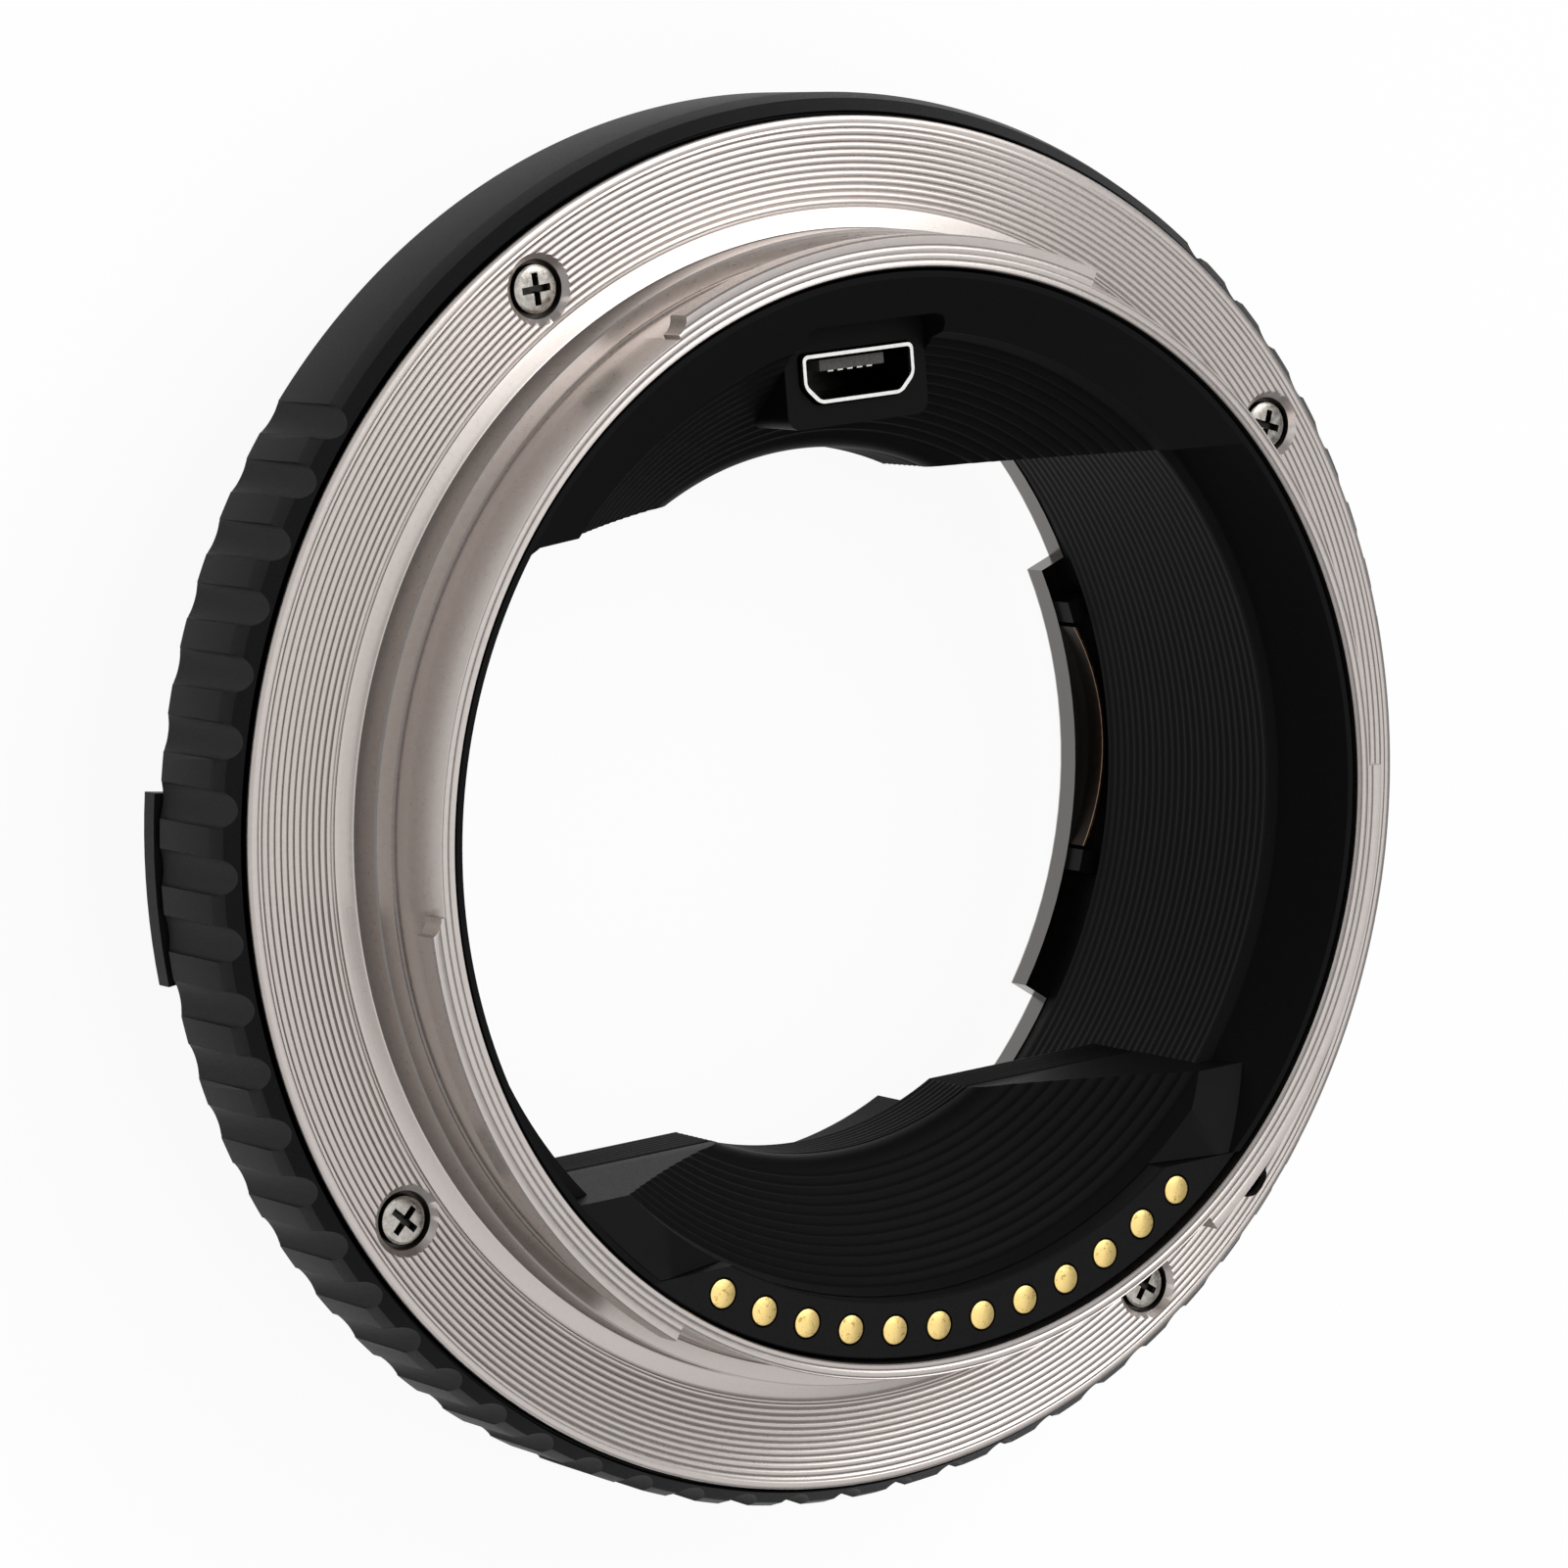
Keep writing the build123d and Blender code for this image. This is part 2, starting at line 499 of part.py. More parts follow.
# Lens bayonet: flat steel ring whose three lobes reach in to the throat radius.
lens_mount = tube(THROAT_CUT_R, LENS_MOUNT_R, 0, LENS_PLATE_T)
for a0, a1 in LENS_LOBES:
    lens_mount += sector(THROAT_R, THROAT_CUT_R + 0.5, 0, LENS_PLATE_T, a0, a1)
for a in LENS_SCREW_ANGLES:
    at = (LENS_SCREW_PCD_R, a)
    lens_mount -= rod(SCREW_R + SLIP, -1, LENS_PLATE_T + 1, at)
    sink = Cone(lens_head_r + SLIP, SCREW_R + SLIP, lens_head_t)
    lens_mount -= Rot(0, 0, a) * Pos(LENS_SCREW_PCD_R, 0, lens_head_t / 2 - 0.001) * sink
lens_mount -= rod(PIN_R + RUN, -1, LENS_PLATE_T + 1, PIN_AT)
save("lens_mount", lens_mount)
lens_screws = []
for a in LENS_SCREW_ANGLES:
    at = (LENS_SCREW_PCD_R, a)
    head = Cone(lens_head_r, SCREW_R, lens_head_t)
    screw = Rot(0, 0, a) * Pos(LENS_SCREW_PCD_R, 0, lens_head_in + lens_head_t / 2) * head
    screw += rod(SCREW_R, lens_head_t, lens_screw_end, at)
    cross = Box(cross_l, cross_w, lens_head_t) + Box(cross_w, cross_l, lens_head_t)
    lens_screws.append(screw - Rot(0, 0, a) * Pos(LENS_SCREW_PCD_R, 0, lens_head_in) * cross)
save("lens_mount_screws", *lens_screws)

# Bowed leaf springs standing on the three lobes, each held between two clips.
SPRING_T = 0.15
SPRING_H = 1.4
spring_end_r = THROAT_R + 0.1
spring_bow = 1.78
spring_half = 14.2
spring_centre = -2.0
clip_w = 1.3
springs = []
clips = []
clip_t = 1.3
spring_end_x = spring_end_r * cos(radians(spring_half))
reach = spring_end_r * sin(radians(spring_half))
leaf_r = (reach ** 2 + spring_bow ** 2) / (2 * spring_bow)
leaf = Pos(spring_end_x + spring_bow - leaf_r, 0, 0) * tube(leaf_r, leaf_r + SPRING_T, LENS_PLATE_T,
                                                            LENS_PLATE_T + SPRING_H)
leaf &= block(spring_end_x, RING_R, -reach, reach, 0, LINER_FOOT)
for i in range(3):
    turn = spring_centre + 120.0 * i
    springs.append(Rot(0, 0, turn) * leaf)
    for side in (-1, 1):
        half = degrees(clip_w / 2 / THROAT_R)
        a = turn + side * (spring_half + half + 0.5)
        clips.append(sector(THROAT_R + 0.2, BORE_R - RUN, LENS_PLATE_T, LENS_PLATE_T + clip_t,
                            a - half, a + half))
save("bayonet_springs", *springs)
save("spring_clips", *clips)

# Lock pin: collar on the back of the lens bayonet, stem up through the lever, head above it.
head_gap = 0.12
collar_t = 0.8
pin_head_z = lever_top + head_gap
nose = 0.3
lock_pin = rod(PIN_R, nose - PIN_OUT, LENS_PLATE_T + RUN, PIN_AT)
lock_pin += Rot(0, 0, PIN_AT[1]) * Pos(PIN_AT[0], 0, nose / 2 - PIN_OUT) * Cone(PIN_R - nose, PIN_R, nose)
lock_pin += rod(COLLAR_R, LENS_PLATE_T, LENS_PLATE_T + collar_t, PIN_AT)
lock_pin += rod(STEM_R, LENS_PLATE_T + collar_t, pin_head_z, PIN_AT)
lock_pin += rod(pin_head_r, pin_head_z, pin_head_z + pin_head_t, PIN_AT)
save("lock_pin", lock_pin)

# Lock pin spring: a sleeve as wide and long as its coil, from the collar to the roof of the well.
wire_r = 0.16
coil_r = 1.1
lock_spring = rod(coil_r + wire_r, LENS_PLATE_T + collar_t, spring_well_top, PIN_AT)
lock_spring -= rod(coil_r - wire_r, LENS_PLATE_T, spring_well_top + 1, PIN_AT)
save("lock_pin_spring", lock_spring)

# Release lever: flat plate that swings round the axis; its ramp lifts the head of the lock pin.
ramp_near = pin_head_r
ramp_run = PIN_AT[0] * radians(LEVER_TRAVEL)
lever = sector(lever_in_r, lever_neck_r, lever_bottom, lever_top, lever_a0, lever_a1)
lever += sector(lever_neck_r - 0.1, lever_pad_in_r + 0.1, lever_bottom, lever_top,
                PIN_AT[1] - lever_half, PIN_AT[1] + lever_half)
lever += sector(lever_pad_in_r, LEVER_PAD_R, lever_bottom, lever_top, LEVER_PAD[0], LEVER_PAD[1])
ramp_far = ramp_near + ramp_run
ramp_flat = ramp_far + 0.6
ramp_outline = Polyline((ramp_near, lever_top - 0.3), (ramp_near, lever_top),
                        (ramp_far, lever_top + PIN_TRAVEL), (ramp_flat, lever_top + PIN_TRAVEL),
                        (ramp_flat, lever_top - 0.3), close=True)
ramp = extrude(make_face(Plane.YZ * ramp_outline), RING_R, both=True)
lever += ramp & sector(lever_in_r, lever_neck_r - 0.5, lever_top - 0.3, well_top, lever_a0, PIN_AT[1])
slot_w = STEM_R + 0.15
slot_end = degrees(slot_w / PIN_AT[0])
lever -= sector(PIN_AT[0] - slot_w, PIN_AT[0] + slot_w, lever_bottom - 1, well_top,
                PIN_AT[1] - LEVER_TRAVEL - slot_end, PIN_AT[1] + slot_end)
save("release_lever", lever)

# Lens contact block, its eight sprung pins and the springs behind them.
lens_block_top = MASK_BOTTOM - 0.05
lens_block = sector(LENS_PIN_CIRCLE - 3.0, BORE_R - RUN, LENS_BLOCK_Z, lens_block_top,
                    CONTACT_SIDE - lens_block_half, CONTACT_SIDE + lens_block_half)
pin_flange_r = LENS_PIN_R + 0.25
pin_flange_z = LENS_BLOCK_Z + 1.2
pin_flange_t = 0.5
pin_tip = LENS_BLOCK_Z - LENS_PIN_OUT
well = lens_block_top - 0.7
lens_pins = []
pin_springs = []
for i in range(LENS_PIN_COUNT):
    at = (LENS_PIN_CIRCLE, CONTACT_SIDE + LENS_PIN_PITCH * (i - (LENS_PIN_COUNT - 1) / 2))
    lens_block -= rod(LENS_PIN_R + RUN, LENS_BLOCK_Z - 1, well, at)
    lens_block -= rod(pin_flange_r + RUN, pin_flange_z, well, at)
    pin = rod(LENS_PIN_R, pin_tip, pin_flange_z, at)
    lens_pins.append(pin + rod(pin_flange_r, pin_flange_z, pin_flange_z + pin_flange_t, at))
    pin_springs.append(rod(LENS_PIN_R, pin_flange_z + pin_flange_t, well, at))
save("lens_contact_block", lens_block)
save("lens_contact_pins", *lens_pins)
save("lens_pin_springs", *pin_springs)
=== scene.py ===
from math import cos, pi, radians, sin
import bmesh
import bpy
from mathutils import Matrix, Vector


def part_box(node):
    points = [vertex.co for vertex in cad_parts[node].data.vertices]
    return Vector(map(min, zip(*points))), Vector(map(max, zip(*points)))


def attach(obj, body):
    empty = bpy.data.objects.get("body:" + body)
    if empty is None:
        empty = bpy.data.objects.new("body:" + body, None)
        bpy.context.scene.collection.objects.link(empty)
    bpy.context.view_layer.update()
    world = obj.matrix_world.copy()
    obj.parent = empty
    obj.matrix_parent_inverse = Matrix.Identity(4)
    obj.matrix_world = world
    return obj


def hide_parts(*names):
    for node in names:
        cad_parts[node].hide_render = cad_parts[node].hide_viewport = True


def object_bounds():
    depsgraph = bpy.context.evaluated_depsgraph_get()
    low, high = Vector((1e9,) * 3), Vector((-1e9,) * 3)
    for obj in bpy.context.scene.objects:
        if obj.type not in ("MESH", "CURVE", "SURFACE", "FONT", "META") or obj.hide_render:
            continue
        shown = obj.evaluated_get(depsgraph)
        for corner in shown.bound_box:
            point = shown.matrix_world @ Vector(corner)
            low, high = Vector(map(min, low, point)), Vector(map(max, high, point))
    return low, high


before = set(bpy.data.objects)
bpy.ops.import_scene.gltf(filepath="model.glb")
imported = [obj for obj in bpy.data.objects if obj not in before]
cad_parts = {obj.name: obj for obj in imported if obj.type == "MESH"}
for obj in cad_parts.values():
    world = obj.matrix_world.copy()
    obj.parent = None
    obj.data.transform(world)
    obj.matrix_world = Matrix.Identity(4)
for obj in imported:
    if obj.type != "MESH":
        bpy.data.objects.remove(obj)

cad_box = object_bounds()

# The view of the photograph. A long lens looks down on the camera side, from above the release
# lever, and the camera is turned on its side, so the adapter seems to stand on its rim.
VIEW_TARGET = Vector((-0.004664, 0.002039, 0.0173))
VIEW_DISTANCE = 0.35483
VIEW_AZIMUTH = radians(164.4264)
VIEW_ELEVATION = radians(55.7353)
VIEW_ROLL = radians(98.539)
VIEW_LENS = 146.16
SENSOR_W = 36.0
toward_camera = Vector((cos(VIEW_ELEVATION) * cos(VIEW_AZIMUTH),
                        cos(VIEW_ELEVATION) * sin(VIEW_AZIMUTH), sin(VIEW_ELEVATION)))
view_camera = bpy.data.objects.new("view_camera", bpy.data.cameras.new("view_camera"))
view_camera.data.sensor_width = SENSOR_W
view_camera.data.lens = VIEW_LENS
view_camera.data.clip_start = 0.01
view_camera.matrix_world = (Matrix.Translation(VIEW_TARGET + toward_camera * VIEW_DISTANCE)
                            @ toward_camera.to_track_quat("Z", "Y").to_matrix().to_4x4()
                            @ Matrix.Rotation(VIEW_ROLL, 4, "Z"))
bpy.context.scene.collection.objects.link(view_camera)
bpy.context.scene.camera = view_camera
bpy.context.scene.view_settings.view_transform = "Standard"

# The studio: a white table under the adapter, a grey room round it, one very large soft box
# overhead, and the key light high on the far side, whose light runs across the turned rings as one
# bright streak.
FLOOR_Z = cad_box[0][2] - 0.0002
TABLE_HALF_W = 3.0
TABLE_GLOW = 0.93
PAPER = (0.9, 0.9, 0.9)
ROOM_TINT = (0.96, 0.98, 1.0)
ROOM_LEVEL = 0.34
floor_mesh = bmesh.new()
bmesh.ops.create_grid(floor_mesh, x_segments=2, y_segments=2, size=TABLE_HALF_W,
                      matrix=Matrix.Translation((0, 0, FLOOR_Z)))
floor_data = bpy.data.meshes.new("white_table")
floor_mesh.to_mesh(floor_data)
white_table = bpy.data.objects.new("white_table", floor_data)
bpy.context.scene.collection.objects.link(white_table)
table_finish = bpy.data.materials.new("white_table")
table_finish.use_nodes = True
nodes = table_finish.node_tree.nodes
links = table_finish.node_tree.links
paper = nodes["Principled BSDF"]
paper.inputs["Base Color"].default_value = (*PAPER, 1)
paper.inputs["Roughness"].default_value = 0.9
paper.inputs["Specular IOR Level"].default_value = 0.1
glow = nodes.new("ShaderNodeEmission")
glow.inputs["Strength"].default_value = 1.0
seen = nodes.new("ShaderNodeLightPath")
straight = nodes.new("ShaderNodeMath")
straight.operation = "MAXIMUM"
links.new(seen.outputs["Is Camera Ray"], straight.inputs[0])
links.new(seen.outputs["Is Glossy Ray"], straight.inputs[1])
through = nodes.new("ShaderNodeMath")
through.operation = "MAXIMUM"
links.new(straight.outputs[0], through.inputs[0])
links.new(seen.outputs["Is Transmission Ray"], through.inputs[1])
seen_share = nodes.new("ShaderNodeMath")
seen_share.operation = "MULTIPLY"
seen_share.inputs[1].default_value = TABLE_GLOW
table_mix = nodes.new("ShaderNodeMixShader")
links.new(through.outputs[0], seen_share.inputs[0])
links.new(seen_share.outputs[0], table_mix.inputs[0])
links.new(paper.outputs[0], table_mix.inputs[1])
links.new(glow.outputs[0], table_mix.inputs[2])
links.new(table_mix.outputs[0], nodes["Material Output"].inputs["Surface"])
white_table.data.materials.append(table_finish)

room = bpy.data.worlds.new("grey_room")
bpy.context.scene.world = room
room.use_nodes = True
room_light = room.node_tree.nodes["Background"]
room_light.inputs["Color"].default_value = (*ROOM_TINT, 1)
room_light.inputs["Strength"].default_value = ROOM_LEVEL


def soft_box(name, place, aim, width, height, watts):
    """A rectangular area light that faces its aim."""
    lamp = bpy.data.lights.new(name, "AREA")
    lamp.shape = "RECTANGLE"
    lamp.size = width
    lamp.size_y = height
    lamp.energy = watts
    holder = bpy.data.objects.new(name, lamp)
    away = Vector(place) - Vector(aim)
    holder.matrix_world = Matrix.Translation(place) @ away.to_track_quat("Z", "Y").to_matrix().to_4x4()
    bpy.context.scene.collection.objects.link(holder)


soft_box("overhead_box", place=(-0.04, 0.0, 0.60), aim=(-0.04, 0, 0), width=1.1, height=1.2, watts=3.4)
soft_box("key_box", place=(0.336, 0.373, 0.557), aim=(0, 0, 0.015), width=0.5, height=0.5, watts=2.1)

# Camera bayonet: one turned ring of brass with a satin nickel plating. Its flange has fine
# ridges cut on the lathe. Inside them stand the register step, the neck and three lobes that
# are milled to length, two of them with a scooped end. Four screws hold it down.
MM = 0.001
FINE = 288
SEAM = 0.0005
WELD = 0.0003
mount_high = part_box("camera_mount")[1]
FLANGE_R = mount_high[0] / MM
BAYONET_TOP = mount_high[2] / MM
FLANGE_Z = 17.3
PLATE_T = 1.4
REGISTER_R = 32.45
REGISTER_H = 2.23
NECK_R = 31.3
MOUNT_BORE_R = 30.42
LOBE_R = 32.2
LOBE_T = 1.6
LOBES = [(64.0, 116.0), (181.0, 233.5), (304.0, 357.0)]
SCREW_ANGLES = [30.0, 120.0, 210.0, 300.0]
SCREW_PCD_R = FLANGE_R - 2.8
SCREW_HEAD_R = 1.38
SCREW_HOLE_R = 0.95
SEAT_DEPTH = 0.95
HEAD_RECESS_R = 1.64
RECESS_EDGE = 0.36
RECESS_EDGE_H = 0.32
LOCK_HOLE_R = 1.3
LOCK_HOLE_ANGLE = -45.0
LOCK_HOLE_AT_R = FLANGE_R - 2.0


def turned(outline, turn=360.0, start=0.0, steps=FINE):
    """A solid of revolution from (radius, height) points, in millimetres."""
    solid = bmesh.new()
    ring = [solid.verts.new((r, 0, z)) for r, z in outline]
    for a, b in zip(ring, ring[1:] + ring[:1]):
        solid.edges.new((a, b))
    geometry = ring + solid.edges[:]
    if turn < 360:
        geometry = geometry + [solid.faces.new(ring)]
    bmesh.ops.spin(solid, geom=geometry, cent=(0, 0, 0), axis=(0, 0, 1), dvec=(0, 0, 0),
                   angle=radians(turn), steps=max(2, round(steps * turn / 360)), use_merge=turn == 360,
                   use_normal_flip=False, use_duplicate=False)
    bmesh.ops.remove_doubles(solid, verts=solid.verts[:], dist=SEAM)
    to_start = Matrix.Rotation(radians(start), 3, "Z")
    bmesh.ops.rotate(solid, verts=solid.verts[:], cent=(0, 0, 0), matrix=to_start)
    bmesh.ops.recalc_face_normals(solid, faces=solid.faces[:])
    return solid


def peg(radius, z0, z1, at_r=0.0, at_angle=0.0, steps=48):
    """A round peg or hole, upright, at a polar place."""
    solid = bmesh.new()
    bmesh.ops.create_cone(solid, cap_ends=True, segments=steps, radius1=radius, radius2=radius,
                          depth=z1 - z0, matrix=Matrix.Rotation(radians(at_angle), 4, "Z")
                          @ Matrix.Translation((at_r, 0, (z0 + z1) / 2)))
    return solid


def at_polar(solid, at_r, at_angle):
    """Carries a shape from the axis out to a polar place."""
    bmesh.ops.transform(solid, verts=solid.verts[:], matrix=Matrix.Rotation(radians(at_angle), 4, "Z")
                        @ Matrix.Translation((at_r, 0, 0)))
    return solid


def brick(size, place, turn=0.0, at_angle=0.0):
    """A block of the given size, centred on a place and turned about its own upright."""
    solid = bmesh.new()
    bmesh.ops.create_cube(solid, size=1, matrix=Matrix.Rotation(radians(at_angle), 4, "Z")
                          @ Matrix.Translation(place) @ Matrix.Rotation(radians(turn), 4, "Z")
                          @ Matrix.Diagonal((*size, 1)))
    return solid


def rough_piece(name, *solids):
    """One object, still in millimetres, from one or more closed shapes."""
    data = bpy.data.meshes.new(name)
    together = bmesh.new()
    for solid in solids:
        part = bpy.data.meshes.new("part")
        solid.to_mesh(part)
        together.from_mesh(part)
        bpy.data.meshes.remove(part)
        solid.free()
    together.to_mesh(data)
    together.free()
    made = bpy.data.objects.new(name, data)
    bpy.context.scene.collection.objects.link(made)
    return made


def machined(made, operation, *solids):
    """Cuts the shapes out of a piece, adds them to it, or keeps what they share."""
    tool = rough_piece("tool", *solids)
    step = made.modifiers.new("machined", "BOOLEAN")
    step.operation = operation
    step.solver = "EXACT"
    step.object = tool
    bpy.context.view_layer.update()
    graph = bpy.context.evaluated_depsgraph_get()
    shaped = bpy.data.meshes.new_from_object(made.evaluated_get(graph))
    made.modifiers.clear()
    worn_out = made.data
    made.data = shaped
    shaped.name = made.name
    bpy.data.meshes.remove(worn_out)
    tool_data = tool.data
    bpy.data.objects.remove(tool)
    bpy.data.meshes.remove(tool_data)
    return made


def finished(made, finish, body, slot, *replaced, crease=30.0):
    """Brings a piece to metres, gives it its finish and sets it on its body."""
    data = made.data
    tidy = bmesh.new()
    tidy.from_mesh(data)
    bmesh.ops.remove_doubles(tidy, verts=tidy.verts[:], dist=WELD)
    bmesh.ops.dissolve_degenerate(tidy, dist=WELD, edges=tidy.edges[:])
    bmesh.ops.recalc_face_normals(tidy, faces=tidy.faces[:])
    bmesh.ops.scale(tidy, vec=(MM, MM, MM), verts=tidy.verts[:])
    tidy.to_mesh(data)
    tidy.free()
    data.shade_smooth()
    data.set_sharp_from_angle(angle=radians(crease))
    data.materials.clear()
    data.materials.append(finish)
    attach(made, body)
    if replaced:
        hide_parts(*replaced)
    return made


def blank_finish(name, colour, roughness, metallic=0.0, specular=0.5):
    """A material with its plain values set, and the piece's own coordinates to hang patterns on."""
    finish = bpy.data.materials.new(name)
    finish.use_nodes = True
    surface = finish.node_tree.nodes["Principled BSDF"]
    surface.inputs["Base Color"].default_value = (*colour, 1)
    surface.inputs["Roughness"].default_value = roughness
    surface.inputs["Metallic"].default_value = metallic
    surface.inputs["Specular IOR Level"].default_value = specular
    finish.node_tree.nodes.new("ShaderNodeTexCoord")
    return finish


def surface_input(finish, label):
    return finish.node_tree.nodes["Principled BSDF"].inputs[label]


def places(finish):
    return finish.node_tree.nodes["Texture Coordinate"].outputs["Object"]


def added(finish, kind, settings):
    """One more node in a finish, with its inputs set."""
    node = finish.node_tree.nodes.new(kind)
    for label, value in settings.items():
        node.inputs[label].default_value = value
    return node


def wired(finish, source, target):
    finish.node_tree.links.new(source, target)


def speckle(finish, scale, detail=2.0, rough=0.5, source=None):
    """Grey speckle over the piece, or over other coordinates."""
    noise = added(finish, "ShaderNodeTexNoise", {"Scale": scale, "Detail": detail, "Roughness": rough})
    wired(finish, places(finish) if source is None else source, noise.inputs["Vector"])
    return noise.outputs["Fac"]


def two_tone(finish, pattern, low, high, spread=(0.3, 0.7)):
    """Colour that drifts between two tones with a grey pattern."""
    ramp = added(finish, "ShaderNodeValToRGB", {})
    for stop, position, tone in zip(ramp.color_ramp.elements, spread, (low, high)):
        stop.position = position
        stop.color = (*tone, 1)
    wired(finish, pattern, ramp.inputs["Fac"])
    wired(finish, ramp.outputs["Color"], surface_input(finish, "Base Color"))


def between(finish, pattern, low, high):
    """Roughness that follows the middle range of a grey pattern."""
    span = added(finish, "ShaderNodeMapRange", {
        "From Min": 0.3, "From Max": 0.7, "To Min": low, "To Max": high})
    wired(finish, pattern, span.inputs["Value"])
    wired(finish, span.outputs["Result"], surface_input(finish, "Roughness"))


def relief(finish, height, depth, strength=1.0):
    """Fine relief, with its depth in metres."""
    bump = added(finish, "ShaderNodeBump", {"Strength": strength, "Distance": depth})
    wired(finish, height, bump.inputs["Height"])
    wired(finish, bump.outputs["Normal"], surface_input(finish, "Normal"))


def lathe_rings(finish, scale):
    """A pattern of fine rings round the optical axis, on flat faces and on round walls alike."""
    apart = added(finish, "ShaderNodeSeparateXYZ", {})
    wired(finish, places(finish), apart.inputs[0])
    flat = added(finish, "ShaderNodeCombineXYZ", {})
    wired(finish, apart.outputs["X"], flat.inputs["X"])
    wired(finish, apart.outputs["Y"], flat.inputs["Y"])
    reach = added(finish, "ShaderNodeVectorMath", {})
    reach.operation = "LENGTH"
    wired(finish, flat.outputs[0], reach.inputs[0])
    rings = added(finish, "ShaderNodeCombineXYZ", {})
    wired(finish, reach.outputs["Value"], rings.inputs["X"])
    wired(finish, apart.outputs["Z"], rings.inputs["Z"])
    return speckle(finish, scale, detail=3.0, rough=0.6, source=rings.outputs[0])


def painted_shade_by_height(finish, z_low, share_low, z_high, share_high):
    """Scales the colour by height: painted shade on the parts of a piece that lie in shadow."""
    apart = added(finish, "ShaderNodeSeparateXYZ", {})
    wired(finish, places(finish), apart.inputs[0])
    share = added(finish, "ShaderNodeMapRange", {
        "From Min": z_low, "From Max": z_high, "To Min": share_low, "To Max": share_high})
    wired(finish, apart.outputs["Z"], share.inputs["Value"])
    toned = added(finish, "ShaderNodeVectorMath", {})
    toned.operation = "SCALE"
    colour = surface_input(finish, "Base Color")
    wired(finish, colour.links[0].from_socket, toned.inputs[0])
    wired(finish, share.outputs["Result"], toned.inputs["Scale"])
    wired(finish, toned.outputs["Vector"], colour)


nickel = blank_finish("satin_nickel", (0.50, 0.455, 0.43), 0.27, 1.0)
mottle = speckle(nickel, 2600, detail=3.0, rough=0.6)
two_tone(nickel, mottle, (0.485, 0.44, 0.415), (0.515, 0.47, 0.445))
between(nickel, mottle, 0.27, 0.30)
turning = lathe_rings(nickel, 11000)
relief(nickel, turning, 0.000010, 0.5)
# Painted shade: below the flange top the colour falls to a tenth, in the screw counterbores, the lock hole
# and down the flange's side wall.
painted_shade_by_height(nickel, (FLANGE_Z - 0.66) * MM, 0.10, (FLANGE_Z - 0.44) * MM, 1.0)

RIDGE_PITCH = 0.39
RIDGE_COUNT = 11
RIDGE_DEPTH = 0.066
RIDGE_CREST = 0.10
ANNULUS_R = 33.42
FIRST_RIDGE_R = 34.08
LAND_PITCH = 0.40
LAND_FIRST = 30.78
LAND_CREST = 0.18
LAND_DEPTH = 0.055
VALLEY_FORM = ((0.34, 0.56), (0.68, 0.24), (1.0, 0.0))
TRIM_GROOVE_R = 33.60
STEP_GROOVE_R = 31.40
LIP_GROOVE_R = 31.18
LOBE_LAND_R = 31.69
LOBE_EDGE = 0.1
plate_back = FLANGE_Z - PLATE_T
register_top = FLANGE_Z + REGISTER_H


def valley(middle, pitch, crest, depth, z):
    """A fine sharp valley between rounded crests, walked from the outside in."""
    flank = (pitch - crest) / 2
    inward = [(middle - flank * reach, z - depth * drop) for reach, drop in VALLEY_FORM]
    outward = [(2 * middle - r, low) for r, low in reversed(inward)]
    return outward + [(middle, z - depth)] + inward


def valleys(first, count, pitch, crest, depth, z):
    """A row of like valleys, walked from the outside in."""
    walk = []
    for i in reversed(range(count)):
        walk += valley(first + pitch * i, pitch, crest, depth, z)
    return walk


back_and_rim = [
    (MOUNT_BORE_R, plate_back), (FLANGE_R - 0.08, plate_back), (FLANGE_R, plate_back + 0.08),
    (FLANGE_R, FLANGE_Z - 0.16), (FLANGE_R - 0.05, FLANGE_Z - 0.05), (FLANGE_R - 0.15, FLANGE_Z),
    (FLANGE_R - 0.38, FLANGE_Z), (FLANGE_R - 0.45, FLANGE_Z - 0.03)]
flange_ridges = valleys(FIRST_RIDGE_R, RIDGE_COUNT, RIDGE_PITCH, RIDGE_CREST, RIDGE_DEPTH, FLANGE_Z)
trim_grooves = [
    (TRIM_GROOVE_R + 0.26, FLANGE_Z - 0.01), (TRIM_GROOVE_R + 0.20, FLANGE_Z - 0.06),
    (TRIM_GROOVE_R + 0.15, FLANGE_Z - 0.03), (TRIM_GROOVE_R + 0.08, FLANGE_Z - 0.03),
    (TRIM_GROOVE_R, FLANGE_Z - 0.08), (ANNULUS_R, FLANGE_Z)]
register_step = [
    (REGISTER_R + 0.16, FLANGE_Z), (REGISTER_R + 0.05, FLANGE_Z + 0.04), (REGISTER_R, FLANGE_Z + 0.15),
    (REGISTER_R, register_top - 0.12), (REGISTER_R - 0.10, register_top),
    (STEP_GROOVE_R + 0.10, register_top), (STEP_GROOVE_R, register_top - 0.06),
    (STEP_GROOVE_R - 0.06, register_top)]
neck_and_lip = [
    (NECK_R, register_top + 0.05), (NECK_R, BAYONET_TOP - 0.12), (NECK_R - 0.03, BAYONET_TOP - 0.05),
    (NECK_R - 0.06, BAYONET_TOP - 0.034), (LIP_GROOVE_R, BAYONET_TOP - LAND_DEPTH),
    (LIP_GROOVE_R - 0.05, BAYONET_TOP - 0.02), (LIP_GROOVE_R - 0.11, BAYONET_TOP)]
top_land = valley(LAND_FIRST, LAND_PITCH, LAND_CREST, LAND_DEPTH, BAYONET_TOP)
top_land += [(MOUNT_BORE_R + 0.07, BAYONET_TOP), (MOUNT_BORE_R, BAYONET_TOP - 0.07)]
outline = back_and_rim + flange_ridges + trim_grooves + register_step + neck_and_lip + top_land
camera_mount = rough_piece("plated_bayonet", turned(outline))

